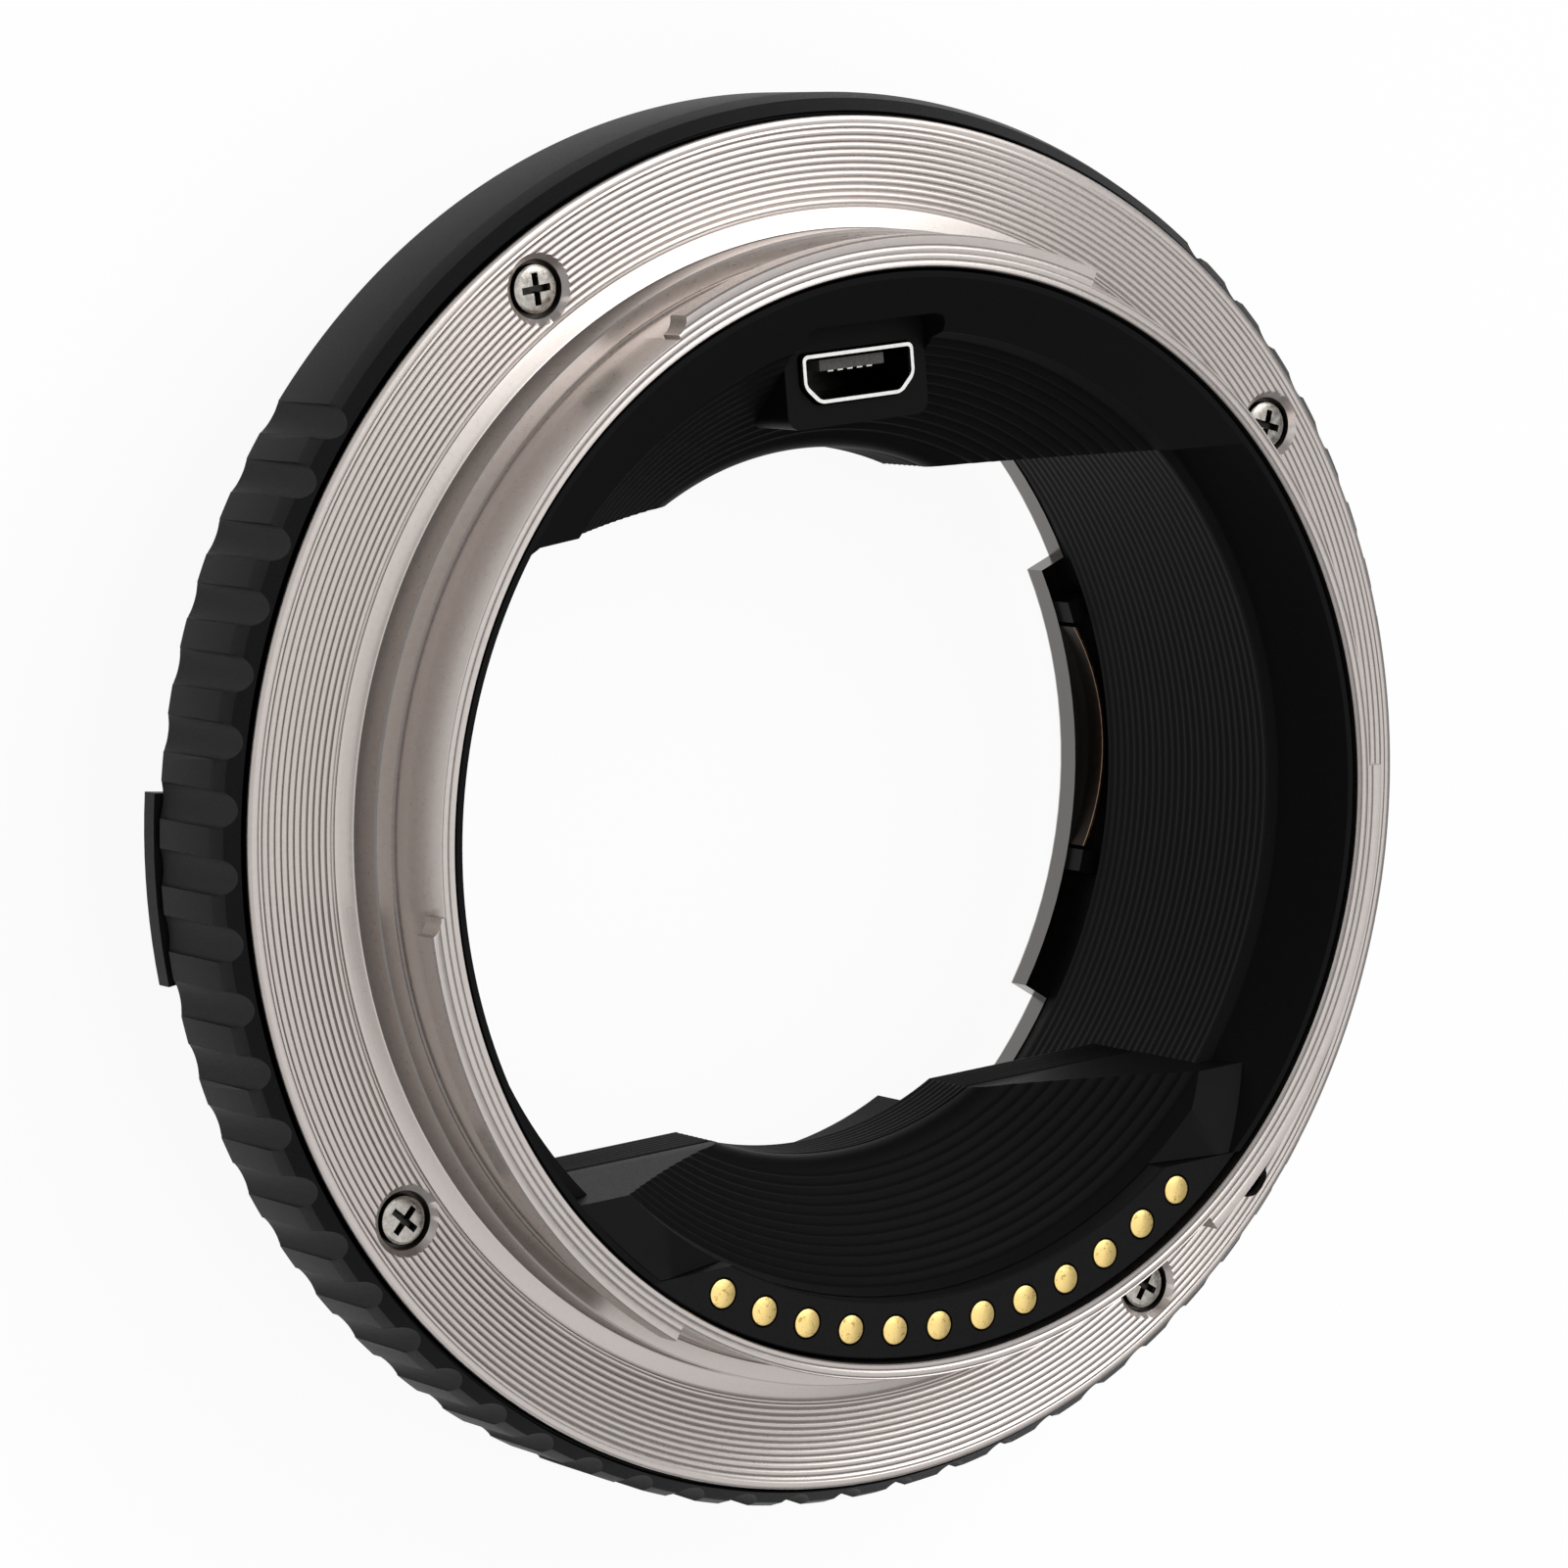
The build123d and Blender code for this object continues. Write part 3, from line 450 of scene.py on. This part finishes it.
lobe_root = LAND_FIRST + LAND_PITCH + 0.06
lobe_outline = [
    (lobe_root, BAYONET_TOP - LOBE_T), (LOBE_R - LOBE_EDGE, BAYONET_TOP - LOBE_T),
    (LOBE_R, BAYONET_TOP - LOBE_T + LOBE_EDGE), (LOBE_R, BAYONET_TOP - LOBE_EDGE),
    (LOBE_R - LOBE_EDGE, BAYONET_TOP), (LOBE_LAND_R, BAYONET_TOP)]
lobe_outline += valley(LAND_FIRST + LAND_PITCH * 2, LAND_PITCH, LAND_CREST, LAND_DEPTH, BAYONET_TOP)
lobe_outline += [(lobe_root + 0.05, BAYONET_TOP), (lobe_root, BAYONET_TOP - 0.02)]
machined(camera_mount, "UNION", *[turned(lobe_outline, a1 - a0, a0) for a0, a1 in LOBES])

NOTCH_R = 0.95
cuts = [peg(NOTCH_R, BAYONET_TOP - LOBE_T - 0.01, BAYONET_TOP + 1, LOBE_R + 0.25, a)
        for a in (LOBES[0][1], LOBES[1][0])]
head_seat = FLANGE_Z - SEAT_DEPTH
for a in SCREW_ANGLES:
    recess = turned([(0, plate_back - 1), (SCREW_HOLE_R, plate_back - 1), (SCREW_HOLE_R, head_seat),
                     (HEAD_RECESS_R, head_seat), (HEAD_RECESS_R, FLANGE_Z - RECESS_EDGE_H),
                     (HEAD_RECESS_R + RECESS_EDGE, FLANGE_Z), (HEAD_RECESS_R + RECESS_EDGE, FLANGE_Z + 1),
                     (0, FLANGE_Z + 1)], steps=48)
    cuts.append(at_polar(recess, SCREW_PCD_R, a))
cuts.append(peg(LOCK_HOLE_R, plate_back - 1, FLANGE_Z + 1, LOCK_HOLE_AT_R, LOCK_HOLE_ANGLE))
machined(camera_mount, "DIFFERENCE", *cuts)
finished(camera_mount, nickel, "body", "mount_metal", "camera_mount")

# Bayonet screws: small steel pan heads with a cross recess, sunk in counterbores. The recess
# narrows downward and is darkened as painted shade, and the head has a soft rounded rim.
HEAD_TOP = FLANGE_Z - 0.28
head_steel = blank_finish("worn_head_steel", (0.42, 0.40, 0.37), 0.24, 1.0)
scuffs = speckle(head_steel, 2600, detail=4.0, rough=0.65)
two_tone(head_steel, scuffs, (0.27, 0.25, 0.22), (0.56, 0.53, 0.49))
between(head_steel, scuffs, 0.16, 0.34)
relief(head_steel, speckle(head_steel, 9000), 0.000008, 0.6)
# Painted shade: the colour falls to a few per cent down in the cross recess.
painted_shade_by_height(head_steel, (HEAD_TOP - 0.26) * MM, 0.07, (HEAD_TOP - 0.12) * MM, 1.0)

CROSS_L = 2.1
CROSS_W = 0.46
CROSS_H = 1.0
CROSS_TAPER = 0.7
CROSS_TURNS = (40.0, 64.0, 15.0, 25.0)
heads = []
crosses = {0: [], 90: []}
for a, turn in zip(SCREW_ANGLES, CROSS_TURNS):
    head = turned([(0, head_seat), (SCREW_HEAD_R, head_seat), (SCREW_HEAD_R, HEAD_TOP - 0.24),
                   (SCREW_HEAD_R - 0.05, HEAD_TOP - 0.10), (SCREW_HEAD_R - 0.16, HEAD_TOP - 0.02),
                   (SCREW_HEAD_R - 0.22, HEAD_TOP), (0.7, HEAD_TOP + 0.02), (0, HEAD_TOP + 0.03)], steps=48)
    heads.append(at_polar(head, SCREW_PCD_R, a))
    for quarter, bars in crosses.items():
        bar = brick((CROSS_L, CROSS_W, CROSS_H), (SCREW_PCD_R, 0, HEAD_TOP), turn + quarter, a)
        lower = [v for v in bar.verts if v.co.z < HEAD_TOP]
        middle = sum((v.co for v in lower), Vector()) / len(lower)
        bmesh.ops.scale(bar, vec=(CROSS_TAPER, CROSS_TAPER, 1), verts=lower,
                        space=Matrix.Translation(-middle))
        bars.append(bar)
bayonet_screws = rough_piece("bayonet_screw_heads", *heads)
machined(bayonet_screws, "DIFFERENCE", *crosses[0])
machined(bayonet_screws, "DIFFERENCE", *crosses[90])
finished(bayonet_screws, head_steel, "body", "screw_steel", "camera_mount_screws")

# Retainer: a thin black anodised plate between the bayonet and the core. Only its rim shows, as
# a dark line round the flange, and the control ring is held under it.
turned_black = blank_finish("turned_black", (0.008, 0.008, 0.008), 0.45, 0.0, 0.12)
rings = lathe_rings(turned_black, 7000)
two_tone(turned_black, rings, (0.006, 0.006, 0.006), (0.012, 0.012, 0.012))
relief(turned_black, rings, 0.00001, 0.5)
RING_TOP = FLANGE_Z - 0.65
RIM_TOP = RING_TOP - 0.4
RETAINER_IN_R = 30.47
RETAINER_SEAT_R = 31.35
RIM_EDGE = 0.03
SEAT_LIP = 0.4
rim_r = FLANGE_R + 0.17
groove_r = FLANGE_R + 0.05
retainer_low = plate_back - 0.8
retainer = rough_piece("retainer_plate", turned([
    (RETAINER_SEAT_R, retainer_low), (rim_r, retainer_low), (rim_r, RIM_TOP - RIM_EDGE),
    (rim_r - RIM_EDGE, RIM_TOP), (groove_r + RIM_EDGE, RIM_TOP), (groove_r, RIM_TOP - RIM_EDGE),
    (groove_r, plate_back), (RETAINER_IN_R, plate_back),
    (RETAINER_IN_R, retainer_low + SEAT_LIP), (RETAINER_SEAT_R, retainer_low + SEAT_LIP)]))
finished(retainer, turned_black, "body", "black_turned", "ring_retainer")

# Control ring: turned from aluminium, blasted and anodised black. Its scallops are milled with a
# round cutter and run out through the bevel, and a smooth stretch is left where a scale would be.
blasted_black = blank_finish("blasted_black", (0.0048, 0.0048, 0.0052), 0.44, 0.0, 0.12)
grain = speckle(blasted_black, 12000, detail=3.0, rough=0.65)
two_tone(blasted_black, grain, (0.0032, 0.0032, 0.0036), (0.007, 0.007, 0.0075))
between(blasted_black, grain, 0.38, 0.54)
relief(blasted_black, grain, 0.00004, 0.6)

ring_low, ring_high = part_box("control_ring")
RING_R = ring_high[0] / MM
ring_bottom = ring_low[2] / MM
MOUTH_R = FLANGE_R + 0.22
SHOULDER_R = 39.66
SHOULDER_Z = RING_TOP - 0.69
SHOULDER_RUN = 0.95
RING_EDGE = 0.15
RING_STEPS = 540
ring_bore = RING_R - 2.2
FLUTE_HALF_W = 1.015
FLUTE_DEPTH = 0.95
FLUTE_DEPTH_LOW = 0.20
FLUTE_PITCH = 5.2
FLUTE_COUNT = 52
FLUTE_FIRST = 140.55


def flute(angle):
    """A half round tool as wide at both ends, that cuts deeper towards the camera side."""
    solid = peg(FLUTE_HALF_W, ring_bottom - 0.5, RING_TOP + 0.5)
    for depth, verts in ((FLUTE_DEPTH, [v for v in solid.verts if v.co.z > RING_TOP]),
                         (FLUTE_DEPTH_LOW, [v for v in solid.verts if v.co.z < RING_TOP])):
        bmesh.ops.scale(solid, vec=(depth / FLUTE_HALF_W, 1, 1), verts=verts)
    return at_polar(solid, RING_R, angle)


control_ring = rough_piece("scalloped_ring", turned([
    (ring_bore, ring_bottom), (RING_R - RING_EDGE, ring_bottom), (RING_R, ring_bottom + RING_EDGE),
    (RING_R, SHOULDER_Z - SHOULDER_RUN), (SHOULDER_R, SHOULDER_Z), (MOUTH_R + 0.06, RING_TOP),
    (MOUTH_R, RING_TOP - 0.05), (MOUTH_R, retainer_low - 0.05), (ring_bore, retainer_low - 0.05)],
    steps=RING_STEPS))
flutes = [flute(FLUTE_FIRST + FLUTE_PITCH * i) for i in range(FLUTE_COUNT)]
machined(control_ring, "DIFFERENCE", *flutes)
finished(control_ring, blasted_black, "control_ring", "black_anodised", "control_ring", crease=24.0)

# Baffle: a black moulding with a fine grain. The rim is a smooth cone with a few fine rings. Left
# and right of the picture window the wall is open and ribbed, above and below it steps down in
# terraces, and the window's own edge is ribbed too, so that no light bounces to the sensor.
moulded_black = blank_finish("moulded_black", (0.005, 0.005, 0.0053), 0.48, 0.0, 0.05)
grain = speckle(moulded_black, 10000, detail=3.0, rough=0.65)
two_tone(moulded_black, grain, (0.0038, 0.0038, 0.004), (0.0062, 0.0062, 0.0065))
between(moulded_black, grain, 0.42, 0.54)
relief(moulded_black, grain, 0.00002, 0.4)

LINER_RIM_R = MOUNT_BORE_R - 0.22
LINER_TOP = FLANGE_Z + 6.9
LINER_FOOT = 4.0
BORE_R = 28.9
WALL_R = 27.7
WALL_TOP = FLANGE_Z + 2.3
MASK_R = 20.1
MASK_BOTTOM = FLANGE_Z - 7.6
MASK_TOP = FLANGE_Z - 2.9
TERRACE_R = 26.6
TERRACE_TOP = FLANGE_Z + 4.3
TERRACE_PITCH = 0.49
TERRACES = 12
SLOT_Y = MASK_R - 2.05
SLOT_TOP_Y = SLOT_Y + 4.45
CONTACT_FACE = FLANGE_Z + 6.65
SLOT_BEND = MASK_TOP - 1.1
RIM_IN = 0.35
RIB_PITCH = 0.62
RIB_DEPTH = 0.055
MASK_RIB = 0.48
MASK_RIB_DEPTH = 0.08
GROOVE_IN = 0.3
UNDERCUT = 3.0
SLOT_HALF_L = 40.0
LINER_STEPS = 256
LOWER_BLOCK = (90.0, 30.0, 40.0)


def ribs(r, z0, z1, pitch, depth):
    """Soft rounded ribs up a wall, walked from the bottom up."""
    count = round((z1 - z0) / pitch)
    step = (z1 - z0) / count
    points = 6 * count
    return [(r + depth * (1 - cos(2 * pi * i / 6)) / 2, z0 + step * i / 6) for i in range(points + 1)]


def groove(y, out):
    """The sharp groove over the ribs of the window's edge, walked from the bottom up."""
    deep = y + out * GROOVE_IN
    return [(deep, SLOT_BEND + 0.06), (deep, SLOT_BEND + 0.22), (y, SLOT_BEND + 0.3)]


def terrace(r, z, reach, rise):
    """One step of the funnel: a tread that slopes in, a soft nose and a riser."""
    form = ((0.50, 0.30), (0.78, 0.52), (0.92, 0.70), (1.0, 1.0))
    return [(r + reach * along, z + rise * up) for along, up in form]


terrace_start = TERRACE_R - TERRACE_PITCH * TERRACES
terrace_foot = MASK_TOP + 0.5
step_z = (TERRACE_TOP - terrace_foot) / TERRACES
funnel = [(0, MASK_BOTTOM - 6), (TERRACE_R - 1.2, MASK_BOTTOM - 6), (TERRACE_R - 1.2, LINER_FOOT + 0.6),
          (MASK_R, MASK_BOTTOM)]
funnel += ribs(MASK_R, MASK_BOTTOM + 0.1, SLOT_BEND, MASK_RIB, MASK_RIB_DEPTH)
funnel += groove(MASK_R, 1)
funnel += [(MASK_R + 0.02, SLOT_BEND + 0.6), (MASK_R + 0.10, SLOT_BEND + 0.9),
           (MASK_R + 0.26, MASK_TOP + 0.1), (terrace_start, terrace_foot)]
for i in range(TERRACES):
    funnel += terrace(terrace_start + TERRACE_PITCH * i, terrace_foot + step_z * i, TERRACE_PITCH, step_z)
funnel += [(TERRACE_R + 0.3, CONTACT_FACE - 1.4)]
rim_top = (LINER_RIM_R - RIM_IN, LINER_TOP)
funnel += [rim_top, (LINER_RIM_R - RIM_IN, LINER_TOP + 1), (0, LINER_TOP + 1)]
wall = [(0, LINER_FOOT - 1), (WALL_R, LINER_FOOT - 1)]
wall += ribs(WALL_R - 0.06, LINER_FOOT + 0.2, WALL_TOP - 0.3, RIB_PITCH, RIB_DEPTH)
wall += [(WALL_R, WALL_TOP - 0.05), (WALL_R + 0.6, WALL_TOP), (WALL_R + 0.68, WALL_TOP + 0.1),
         rim_top, (LINER_RIM_R - RIM_IN, LINER_TOP + 1), (0, LINER_TOP + 1)]


def slot_side(y):
    """One wall of the picture slot, upward: undercut, fine ribs, a groove, and a plain face above."""
    out = y / abs(y)
    edge_ribs = ribs(abs(y), MASK_BOTTOM + 0.1, SLOT_BEND, MASK_RIB, MASK_RIB_DEPTH)
    side = [(y + out * UNDERCUT, LINER_FOOT - 2), (y + out * (UNDERCUT - 0.5), MASK_BOTTOM - 0.6)]
    side += [(y, MASK_BOTTOM)] + [(out * r, z) for r, z in edge_ribs] + groove(y, out)
    return side


def pulled(solid, face, along):
    """Pulls one face out into a solid."""
    out = bmesh.ops.extrude_face_region(solid, geom=[face])
    moved = [v for v in out["geom"] if isinstance(v, bmesh.types.BMVert)]
    bmesh.ops.translate(solid, vec=along, verts=moved)


def slot_solid():
    """The picture slot, from side to side. Its lower wall leans out above the terraces."""
    walk = slot_side(-SLOT_Y)
    walk += [(-SLOT_Y, TERRACE_TOP), (-SLOT_TOP_Y, CONTACT_FACE), (-SLOT_TOP_Y, LINER_TOP + 2)]
    walk += [(SLOT_Y, LINER_TOP + 2)] + slot_side(SLOT_Y)[::-1]
    solid = bmesh.new()
    face = solid.faces.new([solid.verts.new((-SLOT_HALF_L, y, z)) for y, z in walk])
    pulled(solid, face, (2 * SLOT_HALF_L, 0, 0))
    bmesh.ops.recalc_face_normals(solid, faces=solid.faces[:])
    return solid


def shared_form(solid, other):
    """The form that two shapes share, as a tool for one cut."""
    both = machined(rough_piece("shared_form", solid), "INTERSECT", other)
    form = bmesh.new()
    form.from_mesh(both.data)
    used = both.data
    bpy.data.objects.remove(both)
    bpy.data.meshes.remove(used)
    return form


LIP_IN = 0.15
RIM_T = 1.0
liner = rough_piece("ribbed_baffle", turned([
    (0, LINER_FOOT), (BORE_R - LIP_IN, LINER_FOOT), (BORE_R - LIP_IN, retainer_low),
    (LINER_RIM_R + RIM_T, retainer_low), (LINER_RIM_R + RIM_T, retainer_low + SEAT_LIP),
    (LINER_RIM_R, retainer_low + SEAT_LIP), (LINER_RIM_R, LINER_TOP), (0, LINER_TOP)], steps=LINER_STEPS))
machined(liner, "DIFFERENCE", turned(funnel, steps=LINER_STEPS))
machined(liner, "DIFFERENCE", shared_form(turned(wall, steps=LINER_STEPS), slot_solid()))

CONTACT_SEAT = CONTACT_FACE - 2.35
ROOM_IN_R = TERRACE_R + 0.3
contact_room = turned([(ROOM_IN_R, CONTACT_SEAT), (LINER_RIM_R + 1, CONTACT_SEAT),
                       (LINER_RIM_R + 1, LINER_TOP + 1), (ROOM_IN_R, LINER_TOP + 1)], 180, 180)
lower_half = brick(LOWER_BLOCK, (0, -SLOT_TOP_Y - LOWER_BLOCK[1] / 2, 20))
machined(liner, "DIFFERENCE", shared_form(contact_room, lower_half))

USB_Y = LINER_RIM_R - 5.6
USB_FACE = FLANGE_Z + 3.65
USB_DECK = FLANGE_Z + 3.3
DECK_W = 9.4
DECK_CORNER = 0.8
DECK_Y0 = USB_Y - 2.7
DECK_Y1 = USB_Y + 3.0


def upright_edges_rounded(solid, radius, segments):
    upright = [e for e in solid.edges if abs(e.verts[0].co.z - e.verts[1].co.z) > 0.01]
    bmesh.ops.bevel(solid, geom=upright, offset=radius, segments=segments, profile=0.5,
                    affect="EDGES", material=-1)


def deck_block(z0, z1):
    """The round cornered block round the port, between two heights."""
    solid = brick((DECK_W, DECK_Y1 - DECK_Y0, z1 - z0), (0, (DECK_Y0 + DECK_Y1) / 2, (z0 + z1) / 2))
    upright_edges_rounded(solid, DECK_CORNER, 6)
    return solid


machined(liner, "UNION", deck_block(MASK_TOP, USB_DECK))
machined(liner, "DIFFERENCE", deck_block(USB_DECK, LINER_TOP + 1))
USB_W = 7.4
USB_H = 2.75
USB_CORNER = 0.95
PORT_GAP = 0.12
BOARD_TOP = FLANGE_Z - 1.7


def port_prism(inset, z0, z1, soft=0.35):
    """The port's outline, wide at the top and cut off at its lower corners, with soft corners."""
    half = USB_W / 2 - inset
    top = USB_H / 2 - inset
    cut = USB_CORNER - inset * 0.4
    solid = bmesh.new()
    corners = [(-half, USB_Y + top), (-half, USB_Y - top + cut), (-half + cut, USB_Y - top),
               (half - cut, USB_Y - top), (half, USB_Y - top + cut), (half, USB_Y + top)]
    face = solid.faces.new([solid.verts.new((x, y, z0)) for x, y in corners])
    pulled(solid, face, (0, 0, z1 - z0))
    upright_edges_rounded(solid, soft, 5)
    bmesh.ops.recalc_face_normals(solid, faces=solid.faces[:])
    return solid


machined(liner, "DIFFERENCE", port_prism(-PORT_GAP, BOARD_TOP - 1, USB_DECK + 1))
finished(liner, moulded_black, "body", "black_moulding", "liner", crease=28.0)

# Contact block: a smooth black moulding let into the rim of the baffle, with twelve gold plated
# pads pressed in flush. Each pad has a low crowned face and stands in a narrow dark gap.
smooth_black = blank_finish("smooth_black", (0.005, 0.005, 0.0053), 0.40, 0.0, 0.09)
grain = speckle(smooth_black, 8000, detail=2.0)
two_tone(smooth_black, grain, (0.004, 0.004, 0.0042), (0.0065, 0.0065, 0.0068))
relief(smooth_black, grain, 0.00001, 0.3)
CONTACT_R = LINER_RIM_R - 1.6
CONTACT_COUNT = 12
CONTACT_PITCH = 6.0
PAD_R = 0.82
PAD_GAP = 0.1
PAD_SEAT = CONTACT_FACE - 0.5
BLOCK_GAP = 0.05
block_in_r = ROOM_IN_R + BLOCK_GAP
block_foot = CONTACT_SEAT + 0.02
contact_angles = [270 + CONTACT_PITCH * (i - (CONTACT_COUNT - 1) / 2) for i in range(CONTACT_COUNT)]
contact_block = rough_piece("contact_block", turned([
    (block_in_r, block_foot), (LINER_RIM_R, block_foot), (LINER_RIM_R, CONTACT_FACE - 0.08),
    (LINER_RIM_R - 0.08, CONTACT_FACE), (block_in_r + 0.12, CONTACT_FACE),
    (block_in_r, CONTACT_FACE - 0.12)], 180, 180))
lower_half = brick(LOWER_BLOCK, (0, -SLOT_TOP_Y - LOWER_BLOCK[1] / 2 - BLOCK_GAP, 20))
machined(contact_block, "INTERSECT", lower_half)
pad_seats = [peg(PAD_R + PAD_GAP, PAD_SEAT, CONTACT_FACE + 1, CONTACT_R, a) for a in contact_angles]
machined(contact_block, "DIFFERENCE", *pad_seats)
finished(contact_block, smooth_black, "body", "black_gloss", "camera_contact_block")

gold = blank_finish("gold_plate", (0.95, 0.68, 0.24), 0.34, 1.0)
pits = speckle(gold, 3600, detail=5.0, rough=0.75)
two_tone(gold, pits, (0.50, 0.33, 0.09), (0.93, 0.69, 0.27), (0.37, 0.43))
between(gold, pits, 0.30, 0.40)
relief(gold, pits, 0.00003, 0.4)
pads = []
for a in contact_angles:
    pad = turned([(0, PAD_SEAT), (PAD_R, PAD_SEAT), (PAD_R, CONTACT_FACE - 0.08),
                  (PAD_R - 0.03, CONTACT_FACE + 0.02), (PAD_R - 0.09, CONTACT_FACE + 0.05),
                  (0, CONTACT_FACE + 0.06)], steps=40)
    pads.append(at_polar(pad, CONTACT_R, a))
contact_pads = rough_piece("contact_pads", *pads)
finished(contact_pads, gold, "body", "gold_contact", "camera_contacts")

# Port: a folded shell of bright steel round a grey tongue with five small springs. Only the shell's
# rim is bright; below it the steel is darkened as painted shade. It stands on its own small board under the
# deck of the baffle.
folded_steel = blank_finish("folded_steel", (0.74, 0.73, 0.71), 0.2, 1.0)
brushed = speckle(folded_steel, 4000, detail=3.0)
two_tone(folded_steel, brushed, (0.68, 0.67, 0.65), (0.82, 0.81, 0.79))
between(folded_steel, brushed, 0.14, 0.28)
relief(folded_steel, brushed, 0.000006, 0.4)
# Painted shade: the colour falls to a few per cent below the shell's rim, down inside the port.
painted_shade_by_height(folded_steel, (USB_FACE - 0.30) * MM, 0.02, (USB_FACE - 0.16) * MM, 1.0)
SHELL_T = 0.2
SHELL_FLOOR = BOARD_TOP + 0.4
port_shell = rough_piece("port_shell", port_prism(0, BOARD_TOP, USB_FACE))
machined(port_shell, "DIFFERENCE", port_prism(SHELL_T, SHELL_FLOOR, USB_FACE + 1, 0.2))
finished(port_shell, folded_steel, "body", "port_steel", "usb_shell")

TONGUE_W = 4.3
TONGUE_T = 0.6
TONGUE_TOP = USB_FACE - 0.7
tongue_y = USB_Y + 0.35 + TONGUE_T / 2
tongue_z = (TONGUE_TOP + SHELL_FLOOR) / 2
port_tongue = rough_piece("port_tongue", brick((TONGUE_W, TONGUE_T, TONGUE_TOP - SHELL_FLOOR),
                                               (0, tongue_y, tongue_z)))
tongue_resin = blank_finish("tongue_resin", (0.055, 0.053, 0.050), 0.45, 0.0, 0.3)
grain = speckle(tongue_resin, 6000, detail=2.0)
two_tone(tongue_resin, grain, (0.040, 0.038, 0.036), (0.070, 0.068, 0.064))
relief(tongue_resin, grain, 0.00001, 0.4)
finished(port_tongue, tongue_resin, "body", "black_gloss", "usb_tongue")

# Boards, chips and flat cables inside: green lacquer over glass cloth, grey-black moulded resin and
# amber film with copper strips under it. They keep their solids from the frame.
lacquer = blank_finish("board_lacquer", (0.012, 0.07, 0.035), 0.3)
cloth = added(lacquer, "ShaderNodeTexChecker", {
    "Scale": 2600, "Color1": (0.010, 0.058, 0.030, 1), "Color2": (0.014, 0.078, 0.040, 1)})
wired(lacquer, places(lacquer), cloth.inputs["Vector"])
wired(lacquer, cloth.outputs["Color"], surface_input(lacquer, "Base Color"))
relief(lacquer, cloth.outputs["Fac"], 0.000008, 0.3)

resin = blank_finish("chip_resin", (0.016, 0.016, 0.016), 0.55, 0.0, 0.3)
grain = speckle(resin, 14000, detail=2.0)
two_tone(resin, grain, (0.011, 0.011, 0.011), (0.022, 0.022, 0.021))
relief(resin, grain, 0.00001, 0.5)

amber = blank_finish("amber_film", (0.42, 0.20, 0.05), 0.28)
strips = added(amber, "ShaderNodeTexWave", {"Scale": 700, "Distortion": 0})
wired(amber, places(amber), strips.inputs["Vector"])
two_tone(amber, strips.outputs["Fac"], (0.30, 0.13, 0.03), (0.52, 0.27, 0.07))
relief(amber, strips.outputs["Fac"], 0.00001, 0.4)

# Lens side: a bare bright bayonet ring, bowed leaves of bronze, small coil springs of steel wire,
# and a red enamel dot where the lens goes in. They too keep their solids from the frame.
plate = blank_finish("polished_plate", (0.58, 0.56, 0.54), 0.22, 1.0)
rings = lathe_rings(plate, 9000)
two_tone(plate, rings, (0.52, 0.50, 0.48), (0.64, 0.62, 0.60))
between(plate, rings, 0.17, 0.27)
relief(plate, rings, 0.000008, 0.5)
# Painted shade: the ring keeps its colour on its face at the bottom and falls to about a quarter above it,
# deeper inside the adapter.
painted_shade_by_height(plate, 0.00003, 1.0, 0.00010, 0.26)

bright_steel = blank_finish("bright_screw_steel", (0.62, 0.59, 0.55), 0.2, 1.0)
scuffs = speckle(bright_steel, 2600, detail=3.0)
two_tone(bright_steel, scuffs, (0.50, 0.475, 0.44), (0.72, 0.69, 0.64))
between(bright_steel, scuffs, 0.14, 0.32)
relief(bright_steel, speckle(bright_steel, 9000), 0.000006, 0.5)

bronze = blank_finish("leaf_bronze", (0.34, 0.21, 0.13), 0.35, 1.0)
stain = speckle(bronze, 1800, detail=4.0, rough=0.6)
two_tone(bronze, stain, (0.22, 0.13, 0.08), (0.44, 0.28, 0.18))
between(bronze, stain, 0.28, 0.42)
relief(bronze, stain, 0.000008, 0.4)
# Painted shade: the leaves are darkened to a few per cent below their top edges, so only a thin bronze line
# shows.
painted_shade_by_height(bronze, 0.00280, 0.03, 0.00287, 1.0)

wire = blank_finish("coil_steel", (0.46, 0.46, 0.46), 0.3, 1.0)
# The wave bands stand for the coil's turns: they give the relief of the turns and also painted shade, dark
# between the turns and light on them.
coil_turns_and_gap_shade = added(wire, "ShaderNodeTexWave", {"Scale": 500, "Distortion": 0})
coil_turns_and_gap_shade.bands_direction = "Z"
wired(wire, places(wire), coil_turns_and_gap_shade.inputs["Vector"])
two_tone(wire, coil_turns_and_gap_shade.outputs["Fac"], (0.16, 0.16, 0.16), (0.56, 0.56, 0.56))
relief(wire, coil_turns_and_gap_shade.outputs["Fac"], 0.0001, 0.8)

enamel = blank_finish("red_enamel", (0.55, 0.015, 0.012), 0.22)
flow = speckle(enamel, 2500, detail=2.0)
two_tone(enamel, flow, (0.48, 0.010, 0.009), (0.62, 0.022, 0.017))
relief(enamel, flow, 0.000015, 0.4)

cad_finishes = {
    "core_body": turned_black, "rear_housing": blasted_black, "release_lever": blasted_black,
    "lens_contact_block": moulded_black, "spring_clips": smooth_black, "lens_mount": plate,
    "lens_mount_screws": bright_steel, "body_screws": bright_steel, "ring_stop_pin": bright_steel,
    "lock_pin": bright_steel, "lock_pin_spring": wire, "lens_pin_springs": wire,
    "lens_contact_pins": gold, "usb_contacts": bright_steel, "bayonet_springs": bronze,
    "usb_board": lacquer, "main_board": lacquer, "board_chips": resin,
    "usb_flex": amber, "lens_flex": amber, "camera_flex": amber, "lens_index_mark": enamel,
}
for node, finish in cad_finishes.items():
    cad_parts[node].data.materials.clear()
    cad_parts[node].data.materials.append(finish)
